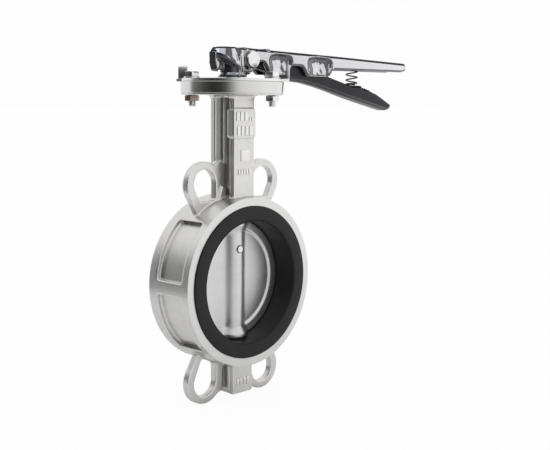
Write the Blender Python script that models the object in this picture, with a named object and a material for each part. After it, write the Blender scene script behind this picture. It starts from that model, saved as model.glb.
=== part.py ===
"""DN125 wafer butterfly valve with a notched hand lever.

Frame: metres, +Z up.  The stem axis is the world Z axis, the pipe bore runs
along Y (front pipe face towards -Y), and the closed lever points along +X.
The origin is on the stem axis, on the flat foot under the lower boss.

Lengths in this file are written in millimetres about the bore centre and
turned into metres, measured from the foot, when vertices are made.
"""
import math

import bmesh
import bpy
from mathutils import Matrix, Vector

# ---------------------------------------------------------------- shared dimensions
MM = 0.001
FOOT = 113.8            # bore centre above the foot under the lower boss
ORIGIN = (0.0, 0.0, -FOOT)
GAP = 0.3               # gap kept between neighbouring pieces
SHARP_ANGLE = 35        # degrees

# body
FACE = 28.0             # half of the 56 mm face-to-face length
BODY_R = 83.7
LINER_SEAT_R = 68.3     # body bore that holds the liner
LIP_SEAT_R = 75.8       # recess in each pipe face for the liner lip
LIP_SEAT_DEPTH = 3.0
NECK_HALF = 12.8        # half width of the neck and boss plates
NECK_Y0, NECK_Y1 = 10.3, 16.3
TUBE_R = 10.4
TOP_R, TOP_Z0, TOP_Z1 = 51.3, 184.0, 197.1      # top flange

# stem, its bore and its bushes
STEM_R = 7.5
STEM_TOP = 227.4
STEM_BORE_R = 8.0
STEM_CLEAR_R = STEM_R + GAP
ORING_Z = {"inner": 92.0, "outer": 168.0}
RING_GROOVE_R, RING_GROOVE_Z0, RING_GROOVE_Z1 = 6.0, 192.9, 194.8
SQUARE_HALF = 5.6       # half of the 11.2 mm square that drives the lever
SQUARE_Z0 = 203.0
BUSH_R = 10.0
BUSH_SEAT_R = BUSH_R + GAP
BUSH_Z0, BUSH_Z1 = 68.9, 85.9                   # middle bush, the lower one mirrors it
UPPER_BUSH_Z0, UPPER_BUSH_Z1 = 176.8, 190.9
THRUST_Z0, THRUST_Z1 = 191.3, 192.5             # thrust washer

# disc and its taper pin
DISC_R = 60.0
DISC_TIP = 58.0         # flat ends of the disc hub
PIN_Z = 31.0
PIN_FRONT_R, PIN_REAR_R = 3.6, 3.1

# notch plate and its M8 bolts
PLATE_Z0 = TOP_Z1 + GAP
PLATE_Z1 = PLATE_Z0 + 2.7
BOLT_CIRCLE_R = 39.7
BOLT_HOLE_R = 4.5
BOLT_HOLE_ANGLES = (45, 135, 225, 315)

# lever and trigger
LEVER_Y = 13.0          # half width of the lever
PIVOT_X, PIVOT_Z, PIVOT_R = 15.0, 219.5, 3.0
SET_SCREW_Z, SET_SCREW_R = 210.0, 3.0

# name, on the -X side, below the bore
QUADRANTS = (("ur", False, False), ("ul", True, False), ("lr", False, True), ("ll", True, True))
FRONT_REAR = (("front", -1), ("rear", 1))


# ---------------------------------------------------------------- materials
def material(name, colour, roughness, metallic):
    mat = bpy.data.materials.new(name)
    mat.use_nodes = True
    inputs = mat.node_tree.nodes["Principled BSDF"].inputs
    inputs["Base Color"].default_value = (*colour, 1.0)
    inputs["Roughness"].default_value = roughness
    inputs["Metallic"].default_value = metallic
    return mat


for old in list(bpy.data.objects):
    bpy.data.objects.remove(old, do_unlink=True)

CAST = material("cast_stainless", colour=(0.62, 0.62, 0.61), roughness=0.42, metallic=1.0)
DISC_STEEL = material("disc_stainless", colour=(0.60, 0.60, 0.60), roughness=0.38, metallic=1.0)
STEEL = material("bright_stainless", colour=(0.72, 0.72, 0.72), roughness=0.22, metallic=1.0)
ZINC = material("zinc_plated_steel", colour=(0.62, 0.60, 0.58), roughness=0.35, metallic=1.0)
RUBBER = material("black_epdm_rubber", colour=(0.03, 0.03, 0.032), roughness=0.55, metallic=0.0)
ENAMEL = material("black_gloss_enamel", colour=(0.012, 0.012, 0.014), roughness=0.12, metallic=0.0)
SPRING_STEEL = material("spring_steel", colour=(0.14, 0.14, 0.15), roughness=0.30, metallic=1.0)
PTFE = material("white_ptfe", colour=(0.85, 0.85, 0.83), roughness=0.45, metallic=0.0)
BLACK_OXIDE = material("black_oxide_steel", colour=(0.05, 0.05, 0.05), roughness=0.40, metallic=1.0)


# ---------------------------------------------------------------- objects
def world(x, y, z):
    """A point in millimetres about the bore centre as a world point."""
    return Vector((x * MM, y * MM, (z + FOOT) * MM))


def joint(name, parent=None):
    """An empty that other objects hang from."""
    empty = bpy.data.objects.new(name, None)
    bpy.context.scene.collection.objects.link(empty)
    empty.parent = parent
    return empty


def add_object(name, bm, parent, origin=ORIGIN):
    """Make an object from bm, whose vertices are world points."""
    bmesh.ops.remove_doubles(bm, verts=bm.verts, dist=1e-7)
    bmesh.ops.recalc_face_normals(bm, faces=bm.faces)
    location = world(*origin)
    bmesh.ops.translate(bm, verts=bm.verts, vec=-location)
    mesh = bpy.data.meshes.new(name)
    bm.to_mesh(mesh)
    bm.free()
    ob = bpy.data.objects.new(name, mesh)
    bpy.context.scene.collection.objects.link(ob)
    ob.location = location
    ob.parent = parent
    ob.matrix_parent_inverse = Matrix.Translation(-parent.location)
    return ob


def piece(name, bm, mat, parent, origin=ORIGIN):
    """A visible solid piece."""
    ob = add_object(name, bm, parent, origin)
    ob.data.materials.append(mat)
    ob.data.shade_smooth()
    ob.data.set_sharp_from_angle(angle=math.radians(SHARP_ANGLE))
    return ob


def combine(target, operation, name, bm, parent=None):
    """Apply a hidden helper to the target with a boolean modifier."""
    helper = add_object(name, bm, parent or target.parent)
    helper.hide_render = True
    helper.display_type = "WIRE"
    modifier = target.modifiers.new(operation.lower() + "_" + name, "BOOLEAN")
    modifier.operation = operation
    modifier.solver = "EXACT"
    modifier.object = helper


def add(target, name, bm):
    combine(target, "UNION", "add_" + name, bm)


def cut(target, name, bm, parent=None):
    combine(target, "DIFFERENCE", "cut_" + name, bm, parent)


# ---------------------------------------------------------------- outlines
def arc(cx, cy, radius, start, end, steps):
    """steps + 1 points on an arc, angles in degrees."""
    angles = [math.radians(start + (end - start) * i / steps) for i in range(steps + 1)]
    return [(cx + radius * math.cos(a), cy + radius * math.sin(a)) for a in angles]


def rectangle(x0, x1, y0, y1):
    return [(x0, y0), (x1, y0), (x1, y1), (x0, y1)]


def rounded_rectangle(x0, x1, y0, y1, radius, steps):
    left, right = x0 + radius, x1 - radius
    low, high = y0 + radius, y1 - radius
    return (arc(right, high, radius, 0, 90, steps) + arc(left, high, radius, 90, 180, steps)
            + arc(left, low, radius, 180, 270, steps) + arc(right, low, radius, 270, 360, steps))


def hexagon(cx, cy, across_flats, turn):
    radius = across_flats / math.sqrt(3.0)
    return arc(cx, cy, radius, turn, turn + 300, 5)


def turned(points, degrees):
    """Points rotated about the origin."""
    c, s = math.cos(math.radians(degrees)), math.sin(math.radians(degrees))
    return [(x * c - y * s, x * s + y * c) for x, y in points]


def mirror_x(points):
    return [(-x, z) for x, z in reversed(points)]


def to_quadrant(points, left, lower):
    """Mirror (x, z) points from the upper +X quadrant into another one."""
    if left:
        points = mirror_x(points)
    if lower:
        points = [(x, -z) for x, z in reversed(points)]
    return points


def on_bolt_circle(degrees):
    angle = math.radians(degrees)
    return (BOLT_CIRCLE_R * math.cos(angle), BOLT_CIRCLE_R * math.sin(angle), 0)


# ---------------------------------------------------------------- solids
def prism(points, axis, lo, hi):
    """Extrude a closed polygon: (x, z) points along 'Y' or (x, y) points along 'Z'."""
    bm = bmesh.new()

    def end_cap(t):
        if axis == "Y":
            return [bm.verts.new(world(x, t, z)) for x, z in points]
        return [bm.verts.new(world(x, y, t)) for x, y in points]

    first, last = end_cap(lo), end_cap(hi)
    bm.faces.new(first)
    bm.faces.new(list(reversed(last)))
    for i in range(len(points)):
        j = (i + 1) % len(points)
        bm.faces.new((first[j], first[i], last[i], last[j]))
    return bm


def lathe(profile, segments, axis="Z", centre=(0.0, 0.0, 0.0), phase=0.0):
    """Turn a (radius, height) profile about 'Z' or 'Y'.  A profile that starts
    and ends at radius 0 gets flat caps, any other is a closed ring.  The phase
    turns the vertices by that part of a segment."""
    bm = bmesh.new()
    cx, cy, cz = centre

    def vertex(radius, height, k):
        angle = 2 * math.pi * (k + phase) / segments
        across, along = radius * math.cos(angle), radius * math.sin(angle)
        if axis == "Z":
            return bm.verts.new(world(cx + across, cy + along, cz + height))
        return bm.verts.new(world(cx + across, cy + height, cz + along))

    capped = profile[0][0] <= 1e-9
    stations = profile[1:-1] if capped else profile
    rings = [[vertex(r, h, k) for k in range(segments)] for r, h in stations]
    for i in range(len(rings) - 1 if capped else len(rings)):
        bridge(bm, rings[i], rings[(i + 1) % len(rings)])
    if capped:
        cap_ends(bm, rings)
    return bm


def bridge(bm, ring, following):
    for k in range(len(ring)):
        j = (k + 1) % len(ring)
        bm.faces.new((ring[k], ring[j], following[j], following[k]))


def cap_ends(bm, rings):
    bm.faces.new(rings[0])
    bm.faces.new(list(reversed(rings[-1])))


def cylinder(radius, lo, hi, segments, axis="Z", centre=(0.0, 0.0, 0.0), bevel=0.0):
    if bevel > 0:
        profile = [(0, lo), (radius - bevel, lo), (radius, lo + bevel),
                   (radius, hi - bevel), (radius - bevel, hi), (0, hi)]
    else:
        profile = [(0, lo), (radius, lo), (radius, hi), (0, hi)]
    return lathe(profile, segments, axis, centre)


def tube(inner_r, outer_r, z0, z1, segments, centre=(0.0, 0.0, 0.0)):
    profile = [(inner_r, z0), (outer_r, z0), (outer_r, z1), (inner_r, z1)]
    return lathe(profile, segments, centre=centre)


def cut_bolt_holes(target, name, z0, z1):
    for i, degrees in enumerate(BOLT_HOLE_ANGLES, 1):
        hole = cylinder(BOLT_HOLE_R, z0 - 5, z1 + 5, 16, centre=on_bolt_circle(degrees))
        cut(target, "%s_%d" % (name, i), hole)


# ---------------------------------------------------------------- joints
valve = joint("valve")
stem_axis = joint("stem_axis", valve)
trigger_axis = joint("trigger_axis", stem_axis)
trigger_axis.location = world(PIVOT_X, 0, PIVOT_Z)


# ---------------------------------------------------------------- body
def build_body():
    edge = 0.8
    ring = [(0, -FACE), (BODY_R - edge, -FACE), (BODY_R, -FACE + edge),
            (BODY_R, FACE - edge), (BODY_R - edge, FACE), (0, FACE)]
    body = piece("valve_body", lathe(ring, 80, "Y"), CAST, valve)
    add_neck(body)
    add_lower_boss(body)
    add_ears(body)
    cut_rim_pockets(body)
    cut_pipe_bore(body)
    cut_stem_bore(body)
    cut_bolt_holes(body, "bolt_hole", TOP_Z0, TOP_Z1)


def add_plate_pair(body, name, half_outline):
    """Two plates in front of and behind the stem, from the (x, z) outline of their +X half."""
    outline = half_outline + mirror_x(half_outline)
    for tag, side in FRONT_REAR:
        y0, y1 = sorted((side * NECK_Y0, side * NECK_Y1))
        add(body, name + "_" + tag, prism(outline, "Y", y0, y1))


def add_neck(body):
    """Neck plates, stem tube with its collar, top flange and a blank pad in front."""
    add_plate_pair(body, "neck", [
        (15.0, 72), (15.0, 83), (13.4, 86.5), (NECK_HALF, 91),
        (NECK_HALF, 176), (NECK_HALF + 1.4, 180), (NECK_HALF + 4.5, TOP_Z0 + 1)])

    collar_r = 18.5
    stem_tube = [(0, 66), (TUBE_R, 66), (TUBE_R, 172), (12.6, 178), (15.5, 182),
                 (collar_r, TOP_Z0 + 0.5), (collar_r, TOP_Z0 + 1.0), (0, TOP_Z0 + 1.0)]
    add(body, "tube", lathe(stem_tube, 32))

    low_edge, top_edge = 0.8, 0.5
    flange = [(0, TOP_Z0), (TOP_R - low_edge, TOP_Z0), (TOP_R, TOP_Z0 + low_edge),
              (TOP_R, TOP_Z1 - top_edge), (TOP_R - top_edge, TOP_Z1), (0, TOP_Z1)]
    add(body, "top_flange", lathe(flange, 72))

    pad = rounded_rectangle(-14.2, 14.2, 143, 169, radius=3, steps=3)
    add(body, "pad", prism(pad, "Y", -17.2, -8.6))


def add_lower_boss(body):
    """Two plates, the tube between them and a closing slab."""
    add_plate_pair(body, "boss", [
        (NECK_HALF, -FOOT), (NECK_HALF, -90), (13.4, -86.5), (14.6, -83), (14.6, -72)])
    add(body, "boss_tube", cylinder(TUBE_R + 0.4, -108, -66, 32))
    slab_x, slab_y = NECK_HALF - 0.6, NECK_Y1 - 2.0
    slab = rectangle(-slab_x, slab_x, -FOOT, -107)
    add(body, "boss_slab", prism(slab, "Y", -slab_y, slab_y))


def add_ears(body):
    """Four ears that guide the pipe bolts, each with a link to the neck or boss."""
    ear_x, ear_z, ear_r, ear_half = 39.7, 97.0, 22.6, 4.0
    root = [(17.9, 88), (12.0, 82), (12.0, 72), (47.6, 66)]
    upper_ear = arc(ear_x, ear_z, ear_r, -38, 122, 24) + [(20.5, 120.2), (17.9, 118.6)] + root
    lower_ear = arc(ear_x, ear_z, ear_r, -38, 128, 24) + [(20.0, 110.8), (17.9, 110.2)] + root

    hole_top = arc(ear_x, 97.9, 14.3, -14, 180, 18)
    upper_hole = (hole_top + [(25.5, 86.0)] + arc(28.6, 84.0, 2.8, 200, 270, 3)
                  + arc(45.4, 83.8, 2.6, 270, 325, 3))
    lower_hole = hole_top + [(25.5, 84.0), (27.0, 81.2), (33.0, 78.2), (41.5, 74.4), (45.0, 75.4)]

    for tag, left, lower in QUADRANTS:
        link = rectangle(8.0, 18.6, 72, 110.0 if lower else 117.5)
        ear = lower_ear if lower else upper_ear
        hole = lower_hole if lower else upper_hole
        add(body, "ear_link_" + tag,
            prism(to_quadrant(link, left, lower), "Y", 1.0, ear_half - 0.6))
        add(body, "ear_" + tag, prism(to_quadrant(ear, left, lower), "Y", -ear_half, ear_half))
        cut(body, "ear_" + tag, prism(to_quadrant(hole, left, lower), "Y", -9.0, 9.0))


def cut_rim_pockets(body):
    """Cast pockets in the rim, two on each side."""
    floor_r, z0, z1, outside_x = 79.0, 7.0, 62.0, 95.0
    start, end = (math.degrees(math.asin(z / floor_r)) for z in (z1, z0))
    pocket = arc(0, 0, floor_r, start, end, 10) + [(outside_x, z0), (outside_x, z1)]
    for tag, left, lower in QUADRANTS:
        cut(body, "pocket_" + tag, prism(to_quadrant(pocket, left, lower), "Y", -18.0, 17.0))


def cut_pipe_bore(body):
    """Bore for the liner, stepped out at each pipe face for its lips."""
    step_y, outside_y = FACE - LIP_SEAT_DEPTH, 40
    bore = [(0, -outside_y), (LIP_SEAT_R, -outside_y),
            (LIP_SEAT_R, -step_y), (LINER_SEAT_R, -step_y),
            (LINER_SEAT_R, step_y), (LIP_SEAT_R, step_y),
            (LIP_SEAT_R, outside_y), (0, outside_y)]
    cut(body, "bore", lathe(bore, 64, "Y", phase=0.5))


def cut_stem_bore(body):
    """Blind below, wider at the three bushes and at the thrust washer."""
    bottom, washer_seat_r, outside_z = -105, 13.6, 210
    seat_end = BUSH_Z1 + GAP
    upper_seat, washer_seat = UPPER_BUSH_Z0 - GAP, THRUST_Z0 - GAP
    bore = [(0, bottom), (STEM_BORE_R, bottom),
            (STEM_BORE_R, -seat_end), (BUSH_SEAT_R, -seat_end),
            (BUSH_SEAT_R, seat_end), (STEM_BORE_R, seat_end),
            (STEM_BORE_R, upper_seat), (BUSH_SEAT_R, upper_seat),
            (BUSH_SEAT_R, washer_seat), (washer_seat_r, washer_seat),
            (washer_seat_r, outside_z), (0, outside_z)]
    cut(body, "stem_bore", lathe(bore, 32))


# ---------------------------------------------------------------- liner
def build_liner():
    bore_r, lip_r = 60.4, 75.4
    wall_r = LINER_SEAT_R - GAP
    lip_y0 = FACE - LIP_SEAT_DEPTH + GAP
    lip_y1 = FACE + 1.5             # the lips stand proud of the pipe faces
    mouth_r, mouth_y = bore_r + 1.6, lip_y1 - 1.8
    profile = [(mouth_r, -lip_y1), (lip_r, -lip_y1), (lip_r, -lip_y0), (wall_r, -lip_y0),
               (wall_r, lip_y0), (lip_r, lip_y0), (lip_r, lip_y1), (mouth_r, lip_y1),
               (bore_r, mouth_y), (bore_r, -mouth_y)]
    liner = piece("seat_liner", lathe(profile, 64, "Y", phase=0.5), RUBBER, valve)
    # moulded flats that the ends of the disc hub turn on
    for tag, side in (("top", 1), ("bottom", -1)):
        z0, z1 = sorted((side * (DISC_TIP + GAP), side * 66.0))
        add(liner, "liner_flat_" + tag, cylinder(14.0, z0, z1, 28))
    cut(liner, "liner_stem", cylinder(STEM_BORE_R, -75, 75, 24))


# ---------------------------------------------------------------- disc, stem and taper pin
def taper_pin_hole():
    ends = 20
    return lathe([(0, -ends), (PIN_FRONT_R + GAP, -ends), (PIN_REAR_R + GAP, ends), (0, ends)],
                 16, "Y", (0, 0, PIN_Z))


def build_disc():
    """A plate with a raised band round its edge and a hub that flares at both ends."""
    web_half, band_half, band_width = 2.6, 3.4, 7.0
    front = [(0.0, -web_half), (DISC_R - band_width - 1.8, -web_half),
             (DISC_R - band_width, -band_half), (DISC_R - 0.6, -band_half + 0.1),
             (DISC_R, -band_half + 0.8)]
    profile = front + [(r, -y) for r, y in reversed(front)]
    disc = piece("disc", lathe(profile, 56, "Y"), DISC_STEEL, stem_axis)

    hub_r, flare_r = 12.0, 13.6
    hub_end = DISC_TIP + 4          # trimmed to the tip below
    hub = [(0, -hub_end), (flare_r, -hub_end), (flare_r, -55.0), (hub_r, -48.0),
           (hub_r, 48.0), (flare_r, 55.0), (flare_r, hub_end), (0, hub_end)]
    add(disc, "disc_hub", lathe(hub, 28))
    for tag, z0, z1 in (("top", DISC_TIP, 75), ("bottom", -75, -DISC_TIP)):
        cut(disc, "disc_" + tag, prism(rectangle(-40, 40, z0, z1), "Y", -40, 40))
    cut(disc, "disc_stem", cylinder(STEM_CLEAR_R, -75, 75, 24))
    cut(disc, "disc_pin", taper_pin_hole())


def build_stem():
    bottom, edge = -103.5, 0.8
    groove_r, groove_half = 5.9, 1.2
    profile = [(0, bottom), (STEM_R - edge, bottom), (STEM_R, bottom + edge)]
    for z in ORING_Z.values():
        z0, z1 = z - groove_half, z + groove_half
        profile += [(STEM_R, z0), (groove_r, z0), (groove_r, z1), (STEM_R, z1)]
    profile += [(STEM_R, RING_GROOVE_Z0), (RING_GROOVE_R, RING_GROOVE_Z0),
                (RING_GROOVE_R, RING_GROOVE_Z1), (STEM_R, RING_GROOVE_Z1),
                (STEM_R, STEM_TOP - edge), (STEM_R - edge, STEM_TOP), (0, STEM_TOP)]
    stem = piece("stem", lathe(profile, 24), STEEL, stem_axis)
    for i in range(4):
        beyond_flat = turned(rectangle(SQUARE_HALF, 12, -12, 12), 90 * i)
        cut(stem, "stem_flat_%d" % (i + 1), prism(beyond_flat, "Z", SQUARE_Z0, 240.0))
    cut(stem, "stem_pin", taper_pin_hole())


def build_taper_pin():
    """Pin that locks the disc to the stem."""
    profile = [(0, -12.9), (PIN_FRONT_R - 0.7, -12.7), (PIN_FRONT_R, -12.0),
               (PIN_REAR_R, 11.5), (PIN_REAR_R - 0.6, 12.1), (0, 12.3)]
    piece("disc_taper_pin", lathe(profile, 16, "Y", (0, 0, PIN_Z)), STEEL, stem_axis)


# ---------------------------------------------------------------- parts round the stem
def build_bushings():
    for tag, z0, z1 in (("lower", -BUSH_Z1, -BUSH_Z0), ("middle", BUSH_Z0, BUSH_Z1),
                        ("upper", UPPER_BUSH_Z0, UPPER_BUSH_Z1)):
        piece(tag + "_bushing", tube(STEM_CLEAR_R, BUSH_R, z0, z1, 20), PTFE, valve)


def build_orings():
    centre_r, section_r = 7.0, 0.72
    for tag, z in ORING_Z.items():
        section = arc(centre_r, z, section_r, 0, 300, 5)
        piece("stem_oring_" + tag, lathe(section, 20), RUBBER, stem_axis)


def build_thrust_washer():
    washer = tube(STEM_CLEAR_R, 13.0, THRUST_Z0, THRUST_Z1, 24)
    piece("thrust_washer", washer, STEEL, valve)


def build_retaining_ring():
    """Split ring in the stem groove, open towards +X."""
    outline = arc(0, 0, 11.0, 20, 340, 22) + arc(0, 0, RING_GROOVE_R + GAP, 330, 30, 18)
    ring = prism(outline, "Z", RING_GROOVE_Z0 + GAP, RING_GROOVE_Z1 - GAP)
    piece("stem_retaining_ring", ring, SPRING_STEEL, stem_axis)


# ---------------------------------------------------------------- notch plate
def build_notch_plate():
    """Flat plate on the top flange, notched over the lever's sweep, with two upturned stops."""
    tooth_r, root_r = 57.0, 52.6
    notches, start, end = 10, -14.0, 104.0
    pitch = (end - start) / notches
    # part of the pitch, radius
    notch = ((0.0, tooth_r), (0.30, tooth_r), (0.42, root_r), (0.58, root_r), (0.70, tooth_r))
    outline = []
    for i in range(notches):
        for part, radius in notch:
            angle = math.radians(start + i * pitch + part * pitch)
            outline.append((radius * math.cos(angle), radius * math.sin(angle)))
    outline += arc(0, 0, tooth_r, end, 124, 4)
    outline += arc(0, 0, 50.0, 127, 302, 32)
    outline += arc(0, 0, tooth_r, 306, 344, 6)
    plate = piece("notch_plate", prism(outline, "Z", PLATE_Z0, PLATE_Z1), STEEL, valve)

    # the left stop stands along a radius, the right one along the plate's edge
    stop_z0 = PLATE_Z0 + 0.6
    left = turned(rectangle(47.0, tooth_r - 0.4, -1.3, 1.3), 118.0)
    right = turned(rectangle(54.2, 56.5, -5.0, 5.0), -44.0)
    add(plate, "stop_left", prism(left, "Z", stop_z0, 213.4))
    add(plate, "stop_right", prism(right, "Z", stop_z0, 214.3))

    cut(plate, "plate_bore", cylinder(10.5, PLATE_Z0 - 5, PLATE_Z1 + 5, 28))
    cut_bolt_holes(plate, "plate_hole", PLATE_Z0, PLATE_Z1)


def build_plate_fasteners():
    """M8 bolt, washer and nut at two opposite corners of the plate."""
    across_flats, shank_r, clear_r = 13.0, 4.0, 4.3
    washer_z0 = PLATE_Z1 + GAP
    washer_z1 = washer_z0 + 1.6
    head_z0 = washer_z1 + GAP
    for tag, degrees in (("left", 135.0), ("right", 315.0)):
        centre = on_bolt_circle(degrees)
        x, y, _ = centre
        washer = tube(clear_r, 8.2, washer_z0, washer_z1, 20, centre)
        piece("plate_washer_" + tag, washer, ZINC, valve)

        head = prism(hexagon(x, y, across_flats, turn=10), "Z", head_z0, head_z0 + 5.0)
        bolt = piece("plate_bolt_" + tag, head, ZINC, valve)
        shank = cylinder(shank_r, 172.6, head_z0 + 2.5, 16, centre=centre, bevel=0.6)
        add(bolt, "shank_" + tag, shank)

        blank = prism(hexagon(x, y, across_flats, turn=25), "Z", 178.0, TOP_Z0 - GAP)
        nut = piece("plate_nut_" + tag, blank, ZINC, valve)
        cut(nut, "nut_" + tag, cylinder(clear_r, 170, 190, 16, centre=centre))


# ---------------------------------------------------------------- lever
LEVER_TIP_X = 270.6
# side view of the lever, (x, z), along the top from the tip to the hub end
LEVER_TOP = [
    (LEVER_TIP_X, 223.0), (150.0, 226.9), (60.0, 229.2), (22.0, 230.4),
    (8.0, 231.0), (-16.0, 231.0), (-24.0, 229.0),
]
# and back along the bottom: tail claw, pivot lug, two rounded legs, grip
LEVER_BOTTOM = [
    (-28.0, 224.0), (-27.0, 214.0), (-24.0, 207.0), (-20.5, 213.0), (-19.0, 218.0),
    (8.0, 217.0), (10.5, 207.0), (15.0, 206.0), (25.0, 217.4), (34.0, 217.4),
    (42.5, 207.5), (46.0, 205.0), (70.0, 205.0), (74.0, 208.0), (77.0, 214.0),
    (92.0, 214.7), (99.0, 206.0), (103.0, 204.2), (134.0, 204.2), (139.0, 207.0),
    (143.0, 212.0), (262.0, 212.4), (LEVER_TIP_X, 214.2),
]
# channel under the grip, open below, (x, z)
CHANNEL_END_X = LEVER_TIP_X - 3.0
LEVER_CHANNEL = [
    (17.6, 190.0), (CHANNEL_END_X, 190.0), (CHANNEL_END_X, 220.0), (150.0, 223.7),
    (60.0, 226.0), (9.2, 227.2), (9.2, 213.0), (17.6, 209.0),
]
# finger pockets in the two legs: name, x0, x1, z0, z1
FINGER_POCKETS = (
    ("1", 46.0, 73.0, 207.5, 226.0),
    ("2", 104.0, 135.0, 206.7, 224.4),
)


def build_lever():
    blank = prism(LEVER_TOP + LEVER_BOTTOM, "Y", -LEVER_Y, LEVER_Y)
    lever = piece("lever_handle", blank, ENAMEL, stem_axis)
    add_lever_hub(lever)

    # the tail claw is narrower than the lever
    for tag, side in FRONT_REAR:
        y0, y1 = sorted((side * 5.0, side * 30.0))
        cut(lever, "tail_" + tag, prism(rectangle(-40.0, -14.9, y0, y1), "Z", 190.0, 219.9))

    cut(lever, "channel", prism(LEVER_CHANNEL, "Y", -10.0, 10.0))

    for tag, x0, x1, z0, z1 in FINGER_POCKETS:
        pocket = rounded_rectangle(x0, x1, z0, z1, radius=5.0, steps=4)
        for side_tag, side in FRONT_REAR:
            y0, y1 = sorted((side * (LEVER_Y - 1.5), side * (LEVER_Y + 4)))
            cut(lever, "pocket_%s_%s" % (tag, side_tag), prism(pocket, "Y", y0, y1))

    half = SQUARE_HALF + GAP
    square = rectangle(-half, half, -half, half)
    cut(lever, "lever_square", prism(square, "Z", SQUARE_Z0, STEM_TOP + GAP))
    cut(lever, "lever_stem", cylinder(STEM_CLEAR_R, 190.0, SQUARE_Z0 + GAP, 24))
    cut(lever, "pivot_hole", pivot_hole())
    cut(lever, "set_screw",
        cylinder(SET_SCREW_R + GAP, 5.0, 30.0, 12, "Y", (0, 0, SET_SCREW_Z)))


def add_lever_hub(lever):
    """Hub round the square of the stem, with its foot flange and rounded head."""
    z0, z1 = PLATE_Z1 + 1.6, 229.0
    hub_r, foot_r = 13.6, 14.4
    hub = [(0, z0), (hub_r, z0), (foot_r, z0 + 0.8), (foot_r, z0 + 3.0),
           (hub_r, 206.5), (hub_r, z1), (0, z1)]
    add(lever, "lever_hub", lathe(hub, 36))

    head_r, head_y = 17.5, 12.9
    head = ([(4.5, -head_y)] + arc(0, 0, head_r, -98, -150, 6)
            + [(-24.0, -5.0), (-28.0, -3.0), (-28.0, 3.0), (-24.0, 5.0)]
            + arc(0, 0, head_r, 150, 98, 6) + [(4.5, head_y)])
    add(lever, "lever_head", prism(head, "Z", 220.0, 229.8))


def pivot_hole():
    return cylinder(PIVOT_R + GAP, -30.0, 30.0, 16, "Y", (PIVOT_X, 0, PIVOT_Z))


def build_set_screw():
    """Socket set screw in the rear of the hub that locks the lever on the stem."""
    centre = (0, 0, SET_SCREW_Z)
    blank = cylinder(SET_SCREW_R, SQUARE_HALF + GAP, 13.0, 12, "Y", centre, bevel=0.5)
    screw = piece("lever_set_screw", blank, BLACK_OXIDE, stem_axis)
    cut(screw, "screw_socket", cylinder(1.7, 10.2, 15.0, 6, "Y", centre))


def build_pivot_pin():
    """Trigger pivot pin with a flat round head in front and a clip at its rear end."""
    head_r, groove_r = 8.0, 2.4
    groove_y0, groove_y1 = 13.5, 14.9
    head_y = -LEVER_Y - GAP
    profile = [(0, -15.9), (head_r - 0.8, -15.9), (head_r, -15.2), (head_r, head_y),
               (PIVOT_R, head_y), (PIVOT_R, groove_y0), (groove_r, groove_y0),
               (groove_r, groove_y1), (PIVOT_R, groove_y1), (PIVOT_R, 15.6),
               (groove_r, 16.2), (0, 16.2)]
    pin = lathe(profile, 24, "Y", (PIVOT_X, 0, PIVOT_Z))
    piece("trigger_pivot_pin", pin, ZINC, stem_axis)

    clip = (arc(PIVOT_X, PIVOT_Z, 6.0, 25, 335, 20)
            + arc(PIVOT_X, PIVOT_Z, groove_r + GAP, 325, 35, 16))
    piece("pivot_pin_clip", prism(clip, "Y", 13.7, 14.7), SPRING_STEEL, stem_axis)


# ---------------------------------------------------------------- trigger
# side view, (x, z), along the bottom from the pivot to the far end
TRIGGER_BOTTOM = [
    (24.0, 212.2), (48.0, 207.6), (51.4, 200.5), (56.6, 200.5), (60.5, 203.0),
    (66.0, 199.6), (74.0, 198.9), (100.0, 197.4), (140.0, 189.8), (172.0, 182.7),
    (219.0, 172.7), (241.0, 168.2), (247.0, 169.6), (249.0, 174.0),
]
# and back along the top; the flat at z 196.2 is the spring seat
TRIGGER_TOP = [
    (245.0, 176.4), (221.0, 188.0), (196.4, 193.0), (195.2, 196.2), (176.8, 196.2),
    (161.0, 200.2), (139.0, 206.2), (100.0, 215.2), (60.0, 220.0), (30.0, 222.8),
]
# hollows open above, on either side of the spring seat, (x, z)
TRIGGER_HOLLOWS = {
    "a": [(72.0, 206.0), (100.0, 202.0), (140.0, 194.0), (170.0, 187.4),
          (170.0, 230.0), (72.0, 230.0)],
    "b": [(201.0, 180.8), (219.0, 177.0), (240.0, 172.4), (240.0, 200.0), (201.0, 200.0)],
}


def build_trigger():
    half_width, hollow_half = 9.2, 6.8
    outline = arc(PIVOT_X, PIVOT_Z, 5.4, 75, 285, 12) + TRIGGER_BOTTOM + TRIGGER_TOP
    trigger = piece("trigger", prism(outline, "Y", -half_width, half_width), ENAMEL,
                    trigger_axis, origin=(PIVOT_X, 0, PIVOT_Z))
    # its helpers hang from the stem axis, not from the trigger's own joint
    for tag, hollow in TRIGGER_HOLLOWS.items():
        cut(trigger, "trigger_" + tag, prism(hollow, "Y", -hollow_half, hollow_half), stem_axis)
    cut(trigger, "trigger_pivot", pivot_hole(), stem_axis)


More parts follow.
